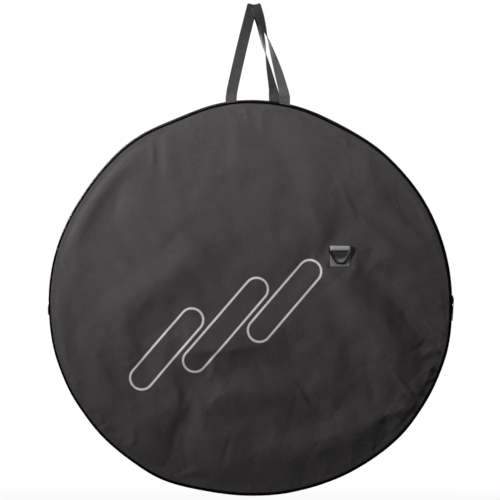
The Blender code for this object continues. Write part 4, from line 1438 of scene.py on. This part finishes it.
def make_coils():
    """Each row is one filament wound in flat loops that reach just past the middle."""
    start = zip_angle(-ZIP_END_DROP + GAP + STOP_LENGTH + GAP)
    count = int((math.pi - 2.0 * start) * TAPE_RADIUS / COIL_PITCH)
    turned = np.linspace(0.0, count * FULL_TURN, count * COIL_POINTS + 1)
    angles = start + (math.pi - 2.0 * start) * turned / turned[-1]
    middle = (COIL_INNER + COIL_WIDTH - 0.0002) / 2.0
    for name, side, body in ZIP_SIDES:
        phase = turned + (math.pi if side > 0.0 else 0.0)
        wave = np.cos(phase)
        depth = side * (middle - (middle + 0.0001) * np.sign(wave) * np.abs(wave) ** 0.7)
        rise = GAP + COIL_HEIGHT / 2.0 + (COIL_HEIGHT / 2.0 - FILAMENT) * np.sin(phase)
        reference = outward_at(angles + QUARTER_TURN)
        coil = tube(name + "_zip_coil", on_zip(angles, rise, depth), FILAMENT, 5, reference, coil_nylon)
        place(coil, body, "zip_coil", "zip_coil_" + name)


def arc_block(name, left, low, high, section, material, steps=4):
    """A small closed body along the zip between two heights, of a section in depth and rise."""
    angles = np.linspace(zip_angle(low), zip_angle(high), steps + 1)
    if left:
        angles = math.pi - angles
    section = np.array(section)
    rings = on_zip(angles[:, None], section[None, :, 1], section[None, :, 0])
    round_it = run_lengths(np.column_stack((section, np.zeros(len(section)))), closed=True)
    flat = flat_grid(np.linspace(0.0, high - low, steps + 1), round_it)
    return loft_piece(name, rings, flat, material, soft_shade=False)


STOP_SECTION = (
    (-0.0036, 0.0004), (-0.0036, 0.0019), (-0.0029, 0.0025), (-0.001, 0.0027), (0.001, 0.0027),
    (0.0029, 0.0025), (0.0036, 0.0019), (0.0036, 0.0004), (0.001, 0.0001), (-0.001, 0.0001),
)


def make_zip_ends():
    """A stop and a sewn tab at each end of the zip."""
    for ending, left in (("_left", True), ("_right", False)):
        low = -ZIP_END_DROP + GAP
        stop = arc_block("stop_block" + ending, left, low, low + STOP_LENGTH, STOP_SECTION, coil_nylon)
        place(round_edges(stop, 0.0003), "shell", "zip_coil", "zip_stop" + ending)
        make_end_tab(ending, left)


def make_end_tab(ending, left):
    """Folded tape sewn over the end of the zip, with a stitched edge."""
    def bearing(height):
        angle = np.arcsin(height / ZIP_RADIUS)
        return math.pi - angle if left else angle

    top = -ZIP_END_DROP - GAP + END_TAB_LAP
    heights = np.linspace(top - END_TAB_LENGTH - END_TAB_LAP, top, 13)
    depths = np.linspace(-END_TAB_WIDTH / 2.0, END_TAB_WIDTH / 2.0, 19)
    angle, depth = np.meshgrid(bearing(heights), depths, indexing="ij")
    rise = GAP + END_TAB_FABRIC
    ends = np.minimum(1.0, np.minimum(heights - heights[0], heights[-1] - heights) / END_TAB_EASE)
    sides = np.minimum(1.0, (END_TAB_WIDTH / 2.0 - np.abs(depths)) / END_TAB_EASE)
    puffed = rise - END_TAB_PUFF * (1.0 - ends[:, None] * sides)
    puffed = puffed + END_TAB_UNEVEN * uneven(angle * RIM_RADIUS, depth, 0.006, 3.0)
    points = on_disc(angle, crest_radius(angle) + puffed, depth)
    tab = sheet_piece("end_tab" + ending, points, flat_grid(heights, depths), binding_tape)
    thicken(face_away(tab, reference=CENTRE), END_TAB_FABRIC - END_TAB_UNEVEN)
    place(tab, "shell", "binding", "zip_end_tab" + ending)
    inset = END_TAB_INSET
    across, height = box_path(161, heights[0] + inset, heights[-1] - inset, END_TAB_WIDTH / 2.0 - inset)
    angles = bearing(height)
    path = on_disc(angles, crest_radius(angles) + rise, across)
    name = "end_tab_stitches" + ending
    stitch_row(name, path, outward_at(angles), "shell", light_thread, *END_TAB_STITCH)


# Slider and pull

SLIDER_ANGLE = zip_angle(SLIDER_HEIGHT)
SLIDER_OUT = outward_at(SLIDER_ANGLE)
SLIDER_RUN = outward_at(SLIDER_ANGLE + QUARTER_TURN)


def on_slider(along, depth, rise):
    along, depth, rise = np.broadcast_arrays(along, depth, rise)
    moved = along[..., None] * SLIDER_RUN + rise[..., None] * SLIDER_OUT
    return on_zip(SLIDER_ANGLE, 0.0, 0.0) + moved + depth[..., None] * DEPTHWISE


def make_slider():
    """Body with a roof, two flanges and a web that parts the coils, and a bridge for the pull."""
    along = np.linspace(-SLIDER_HALF, SLIDER_HALF, 17)
    swell = SLIDER_HEAD_SWELL * np.exp(-((along - SLIDER_HEAD) / 0.003) ** 2)
    half = SLIDER_TAIL_HALF + swell - 0.0006 * smooth((np.abs(along) - 0.0066) / 0.0014)
    bulge = SLIDER_BULGE * (1.0 - (along / SLIDER_HALF) ** 2)
    right = (
        (half - 0.0006, SLIDER_TOP + bulge * 0.5),
        (half, SLIDER_TOP - 0.0005),
        (half, 0.0004),
        (SLIDER_FLANGE, 0.0004),
        (SLIDER_FLANGE, SLIDER_ROOF),
        (SLIDER_WEB, SLIDER_ROOF),
        (SLIDER_WEB, SLIDER_FLOOR),
        (half, SLIDER_FLOOR),
        (half - 0.0004, SLIDER_FLOOR - 0.001),
    )
    spots = [(0.0, SLIDER_TOP + bulge)] + list(right) + [(-wide, rise) for wide, rise in right[::-1]]
    rings = np.stack([on_slider(along, wide, rise) for wide, rise in spots], axis=1)
    flat = flat_grid(along - along[0], np.linspace(0.0, 0.04, len(spots) + 1))
    body = loft_piece("slider_body", rings, flat, lacquer, soft_shade=False)
    place(round_edges(body, 0.00022), "slider", "zip_metal", "zip_slider")
    turned = np.linspace(math.pi, 0.0, 15)
    run = (BRIDGE_SPAN / 2.0 + 0.0006) * np.sign(np.cos(turned)) * np.abs(np.cos(turned)) ** 0.55
    arch = BRIDGE_ARCH * np.abs(np.sin(turned)) ** 0.55
    path = on_slider(run, 0.0, SLIDER_TOP - 0.0004 + arch)
    place(strap_piece("slider_bridge", path, DEPTHWISE, 0.002, 0.001, lacquer), "slider", "zip_metal")


def strap_piece(name, path, across, width, thickness, material, cup=0.0):
    """A flat band with rounded edges along a path; across is its width's direction."""
    across = np.broadcast_to(across, path.shape)
    along = tangents(path)
    across = unit(across - along * (across * along).sum(axis=1, keepdims=True))
    normal = np.cross(across, along)
    spots = np.array((-1.0, -0.93, -0.8, -0.55, -0.28, 0.0, 0.28, 0.55, 0.8, 0.93, 1.0))
    full = np.array((0.3, 0.85, 1.0, 1.0, 1.0, 1.0, 1.0, 1.0, 1.0, 0.85, 0.3))
    places = np.concatenate((spots, spots[::-1])) * width / 2.0
    heights = np.concatenate((full, -full[::-1])) * thickness / 2.0 + cup * (places / (width / 2.0)) ** 2
    rings = path[:, None] + places[:, None] * across[:, None] + heights[:, None] * normal[:, None]
    flat = flat_grid(run_lengths(path), np.concatenate((places, places[:1])))
    return loft_piece(name, rings, flat, material)


def make_pull():
    """Flat pull with a slot for the bridge, a waist and a grip with ribs."""
    inner = 0.00135
    outer = 0.00285
    grip = 0.0035
    rows = (
        (0.0006, outer - 0.0006), (-0.0006, outer), (-0.0051, outer), (-0.0066, outer), (-0.009, 0.0021),
        (-0.012, 0.0021), (-0.015, grip * 0.92), (-0.018, grip), (-0.036, grip), (-0.0385, grip * 0.9),
        (-0.04, grip * 0.62),
    )
    along, half = np.array(rows).T
    depths = half[:, None] * np.array((-1.0, -0.47, 0.47, 1.0))
    near = along > -0.006
    depths[near, 1] = -inner
    depths[near, 2] = inner
    rise = PULL_RISE + PULL_THICKNESS / 2.0
    points = on_slider(along[:, None], depths, rise + PULL_LEAN * along[:, None])
    flat = joined(depths, along[:, None])

    def present(row, column):
        return ~((row == 1) & (column == 1))

    plate = sheet_piece("pull_plate", points, flat, lacquer, present)
    face_away(plate, direction=SLIDER_OUT)
    plate.data.shade_flat()
    place(round_edges(thicken(plate, PULL_THICKNESS), 0.00025), "pull", "zip_metal", "zip_pull")
    for index in range(PULL_RIBS):
        spot = PULL_RIB_START - index * PULL_RIB_PITCH
        depths = np.linspace(-PULL_RIB_HALF, PULL_RIB_HALF, 9)
        path = on_slider(spot, depths, PULL_RISE + 0.00062 + PULL_LEAN * spot)
        rib = tube(f"pull_rib_{index + 1}", path, PULL_RIB_RADIUS, 8, SLIDER_RUN, lacquer)
        place(rib, "pull", "zip_metal")


# Handles

def leg_point(foot, top, bow, share):
    point = foot[None, :] * (1.0 - share[:, None]) + top[None, :] * share[:, None]
    point[:, 0] += bow * 4.0 * share * (1.0 - share)
    return point


def rim_top(across):
    """Height of the rim's outer edge at a distance right of the disc centre."""
    bearing = QUARTER_TURN
    for _ in range(4):
        bearing = math.acos(across / float(rim_radius(bearing)))
    return CENTRE[2] + float(rim_radius(bearing)) * math.sin(bearing)


FRONT_TURN = (
    (0.0, 0.0), (0.34, 0.5), (0.41, 0.57), (0.49, 0.62), (0.58, 0.68), (0.68, 0.74), (0.76, 0.785),
    (0.84, 0.81), (0.93, 0.84), (1.0, 0.97),
)
BACK_TURN = (
    (0.0, 0.0), (0.17, 0.27), (0.25, 0.31), (0.33, 0.34), (0.43, 0.39), (0.53, 0.5), (0.58, 0.55),
    (0.68, 0.635), (0.76, 0.68), (0.84, 0.725), (0.93, 0.79), (1.0, 0.97),
)


def even_out(values, passes, moving=True):
    """Smooth a run of values where moving is true, with its ends held."""
    for _ in range(passes):
        middle = (values[:-2] + 2.0 * values[1:-1] + values[2:]) / 4.0
        values[1:-1] = np.where(moving, middle, values[1:-1])
    return values


def make_handle(prefix, side, left_foot, right_foot, stages, right_bow, body):
    """One strap: up from its left foot, over the hook, and down the turned right leg."""
    half_thick = WEBBING_THICKNESS / 2.0
    inner = HANDLE_SPACING / 2.0 + half_thick
    foot_depth = side * (FOOT_OUTER - half_thick)
    left_top = np.array((TOP_LEFT, side * inner, -FOLD_RADIUS - half_thick))
    right_top = np.array((TOP_RIGHT, side * (inner + 2.0 * FOLD_RADIUS), -FOLD_RADIUS - half_thick))

    def foot(column):
        """A leg's lower end, and where it meets the seam."""
        x = CENTRE[0] + column
        return np.array((x, foot_depth, FOOT_TOP)), np.array((x, foot_depth, rim_top(column) - FOOT_SUNK))

    left_bottom, left_seam = foot(-left_foot)
    right_bottom, right_seam = foot(right_foot)
    foot_steps = np.linspace(0.0, 1.0, 7)[:-1, None]
    left_rise = left_seam * (1.0 - foot_steps) + left_bottom * foot_steps
    left_leg = leg_point(left_bottom, left_top, -LEFT_BOW, np.linspace(0.0, 1.0, 72))
    turned = np.linspace(0.0, math.pi, 15)[1:-1]
    drift = (right_top[0] - left_top[0]) / 2.0
    away = joined(-drift / FOLD_RADIUS * np.cos(turned), -side * np.cos(turned), np.sin(turned))
    over = (left_top + right_top) / 2.0 + away * FOLD_RADIUS
    down = np.linspace(0.0, 1.0, 90)
    right_leg = leg_point(right_bottom, right_top, right_bow, 1.0 - down)
    right_fall = np.vstack((right_bottom + (right_seam - right_bottom) * foot_steps[1:], right_seam))
    path = np.vstack((left_rise, left_leg, over, right_leg, right_fall))
    twist = math.pi * even_out(np.interp(down, *np.transpose(stages)), 8)
    across = np.zeros(path.shape)
    across[:, 0] = 1.0
    first = len(path) - len(right_fall) - len(down)
    across[first:first + len(down)] = joined(np.cos(twist), -side * np.sin(twist), 0.0)
    across[first + len(down):, 0] = -1.0
    even_out(path, 30, (path[:, 2] < FOOT_TOP + 0.03)[1:-1, None])
    size = (WEBBING_WIDTH, WEBBING_THICKNESS)
    strap = strap_piece(prefix + "_handle_strap", path, across, *size, webbing, STRAP_CUP)
    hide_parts(prefix + "_handle")
    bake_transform(strap)
    for ending, column in (("left", -left_foot), ("right", right_foot)):
        make_foot_ply(prefix, ending, side, column, body)


def make_foot_ply(prefix, ending, side, column, body):
    """The strap's turned-back end behind its foot, with two rows of stitches."""
    x = CENTRE[0] + column
    low = rim_top(column) - FOOT_SUNK
    depth = side * (FOOT_OUTER - 1.5 * WEBBING_THICKNESS - FOOT_CLEAR)
    path = joined(x, depth, np.linspace(low, FOOT_TOP - PLY_INSET, 8))
    size = (WEBBING_WIDTH - PLY_INSET, PLY_THICKNESS)
    ply = strap_piece(f"{prefix}_foot_ply_{ending}", path, SIDEWAYS, *size, webbing)
    place(ply, body, "webbing", f"{prefix}_handle_foot_{ending}")
    half = WEBBING_WIDTH / 2.0 - BOX_SIDE_INSET
    top = FOOT_TOP - BOX_TOP_INSET
    bottom = low + BOX_LOW_INSET
    box = ((-half, bottom), (-half, top), (half, top), (half, bottom), (-half, bottom), (half, top))
    for name, corners in (("box", box), ("cross", ((-half, top), (half, bottom)))):
        start = np.array(corners[:-1])[:, None]
        end = np.array(corners[1:])[:, None]
        spots = (start + (end - start) * np.linspace(0.0, 1.0, 12)[:, None]).reshape(-1, 2)
        path = joined(x + spots[:, 0], side * (FOOT_OUTER + FOOT_CLEAR), spots[:, 1])
        name = f"{prefix}_foot_{name}_{ending}"
        stitch_row(name, path, side * DEPTHWISE, body, light_thread, *FOOT_STITCH)


def make_handles():
    make_handle("front", -1.0, 0.0356, 0.0644, FRONT_TURN, FRONT_RIGHT_BOW, "flap")
    make_handle("back", 1.0, 0.0369, 0.0454, BACK_TURN, BACK_RIGHT_BOW, "shell")


# Ring tab

def make_ring_tab():
    """Webbing sewn to the front, rolled at its top into a sleeve for the ring."""
    foot = CENTRE[2] + TAB_RISE - TAB_HEIGHT / 2.0
    middle = SLEEVE_RADIUS + WEBBING_THICKNESS / 2.0
    bar_y = -TAB_BACK - WEBBING_THICKNESS / 2.0 - middle
    bar_z = CENTRE[2] + TAB_RISE + TAB_HEIGHT / 2.0 - SLEEVE_RADIUS - WEBBING_THICKNESS
    rise = np.linspace(foot, bar_z, 26)[:-1]
    turned = np.linspace(0.0, FULL_TURN * SLEEVE_TURN_SHARE, 30)
    loop = np.sin(turned)
    y = bar_y + middle * np.concatenate((np.ones(len(rise)), np.cos(turned)))
    z = np.concatenate((rise, bar_z + middle * np.where(loop < 0.0, loop * SLEEVE_SAG, loop)))
    x = CENTRE[0] + TAB_RIGHT
    path = joined(x, y, z)
    tab = strap_piece("ring_tab_webbing", path, SIDEWAYS, TAB_WIDTH, WEBBING_THICKNESS, tab_webbing)
    place(tab, "flap", "webbing", "ring_tab")
    half = TAB_WIDTH / 2.0 - TAB_SEAM_INSET
    across, height = box_path(201, foot + TAB_SEAM_INSET, foot + TAB_SEWN, half)
    path = joined(x + across, bar_y + middle - WEBBING_THICKNESS / 2.0, height)
    stitch_row("ring_tab_stitches", path, -DEPTHWISE, "flap", light_thread, *RING_TAB_STITCH)
    make_ring(np.array((x, bar_y, bar_z)))


def make_ring(bar):
    """Wire bent to a D with a straight bar at its top."""
    half = TAB_WIDTH / 2.0 + RING_PLAY + RING_WIRE_RADIUS
    inside = half - RING_CORNER

    def corner(middle, first, last):
        turned = np.linspace(first, last, 9)
        return joined(middle + RING_CORNER * np.cos(turned), RING_CORNER * (np.sin(turned) - 1.0))

    bottom = ((half, RING_FLAT, -RING_FLAT, -half), (-RING_SIDE, -RING_DEPTH, -RING_DEPTH, -RING_SIDE))
    run = np.linspace(0.0, 3.0, 61)
    bend = joined(*[np.interp(run, np.arange(4), part) for part in bottom])
    bar_x = -inside * (1.0 - 2.0 * np.linspace(0.0, 1.0, 14)[1:-1])
    spots = np.vstack((
        corner(inside, QUARTER_TURN, 0.0),
        even_out(bend, 24),
        corner(-inside, math.pi, QUARTER_TURN),
        joined(bar_x, 0.0),
    ))
    path = joined(spots[:, 0], 0.0, spots[:, 1]) + bar
    ring = tube("ring_wire", path, RING_WIRE_RADIUS, 14, DEPTHWISE, ring_finish, closed=True)
    place(ring, "ring", "ring_steel", "d_ring")


# Floor, lights and camera

CAMERA_HEIGHT_DEG = 3.0
CAMERA_AWAY = 6.0
PICTURE_WIDTH = 0.94
AIM = Vector((-0.0081, 0.0, -0.4603))
FLOOR_DROP = 0.42
FLOOR_SIZE = 40.0
WHITE = (1.0, 1.0, 1.0)
ROOM_LIGHT = 0.07


def make_floor():
    """A pale floor that fades into the white room away from the bag, and keeps its shadow."""
    level = float(cad_box[0].z) - FLOOR_DROP
    half = FLOOR_SIZE / 2.0
    mesh = bpy.data.meshes.new("floor")
    corners = [(-half, -half, level), (half, -half, level), (half, half, level), (-half, half, level)]
    mesh.from_pydata(corners, [], [(0, 1, 2, 3)])
    add_object("floor", mesh)
    material = bpy.data.materials.new("pale_floor")
    nodes = Nodes(material)
    nodes.tree.nodes.clear()
    lit = nodes.value("ShaderNodeBsdfDiffuse", {"Color": shade(WHITE, 0.36)})
    spot = nodes.value("ShaderNodeTexCoord", output="Object")
    away = nodes.value("ShaderNodeVectorMath", {0: spot}, "Value", operation="LENGTH")
    inputs = {"Value": away, "From Min": 1.4, "From Max": 4.2, "To Min": 0.55, "To Max": 1.0}
    fade = nodes.value("ShaderNodeMapRange", inputs, "Result", interpolation_type="SMOOTHSTEP")
    glow = nodes.value("ShaderNodeEmission", {"Strength": fade})
    both = nodes.value("ShaderNodeAddShader", {0: lit, 1: glow})
    direct = nodes.value("ShaderNodeLightPath", output="Is Camera Ray")
    nodes.show("ShaderNodeOutputMaterial", direct, lit, both)
    mesh.materials.append(material)


def make_world():
    """A faint even room light, behind a white that only the camera sees."""
    world = bpy.data.worlds.new("studio")
    bpy.context.scene.world = world
    nodes = Nodes(world)
    nodes.tree.nodes.clear()
    room, white = [
        nodes.value("ShaderNodeBackground", {"Color": shade(WHITE, 1.0), "Strength": strength})
        for strength in (ROOM_LIGHT, 1.0)
    ]
    direct = nodes.value("ShaderNodeLightPath", output="Is Camera Ray")
    direct = direct.math("MAXIMUM", nodes.value("ShaderNodeLightPath", output="Is Transmission Ray"))
    nodes.show("ShaderNodeOutputWorld", direct, room, white)


def aim(holder, spot, direction):
    holder.location = spot
    holder.rotation_mode = "QUATERNION"
    holder.rotation_quaternion = direction.to_track_quat("-Z", "Y")


def make_lamp(name, spot, target, size, watts, spread=180.0):
    lamp = bpy.data.lights.new(name, "AREA")
    lamp.shape = "DISK"
    lamp.size = size
    lamp.energy = watts
    lamp.spread = math.radians(spread)
    aim(add_object(name, lamp), spot, Vector(target) - Vector(spot))


def make_studio():
    make_floor()
    make_world()
    make_lamp("key", (-1.4, -0.95, -0.03), (-0.1, 0.0, 0.15), 0.6, 13.9, 100.0)
    make_lamp("right", (0.9, -0.9, 0.1), (0.3, 0.0, -0.25), 0.5, 0.18, 50.0)
    make_lamp("side", (0.95, -0.4, 0.15), (0.03, 0.0, -0.1), 0.3, 0.27, 36.0)
    make_lamp("fill", (2.4, -2.6, 0.4), (0.0, 0.0, -0.5), 1.6, 5.0)
    make_lamp("rear", (-1.2, 0.8, 0.2), (0.0, 0.0, -0.5), 0.6, 5.0)
    make_lamp("back", (-1.1, 1.9, -0.2), (0.0, 0.0, -0.55), 0.5, 5.2, 60.0)
    camera = bpy.data.cameras.new("camera")
    camera.sensor_width = 36.0
    camera.lens = camera.sensor_width * CAMERA_AWAY / PICTURE_WIDTH
    camera.clip_end = 50.0
    tilt = math.radians(CAMERA_HEIGHT_DEG)
    back = Vector((0.0, -math.cos(tilt), math.sin(tilt)))
    holder = add_object("camera", camera)
    aim(holder, AIM + back * CAMERA_AWAY, -back)
    bpy.context.scene.camera = holder
    bpy.context.scene.view_settings.view_transform = "Standard"


make_walls()
make_gussets()
make_zip_stitching()
make_tapes()
make_coils()
make_zip_ends()
make_slider()
make_pull()
make_handles()
make_ring_tab()
make_studio()
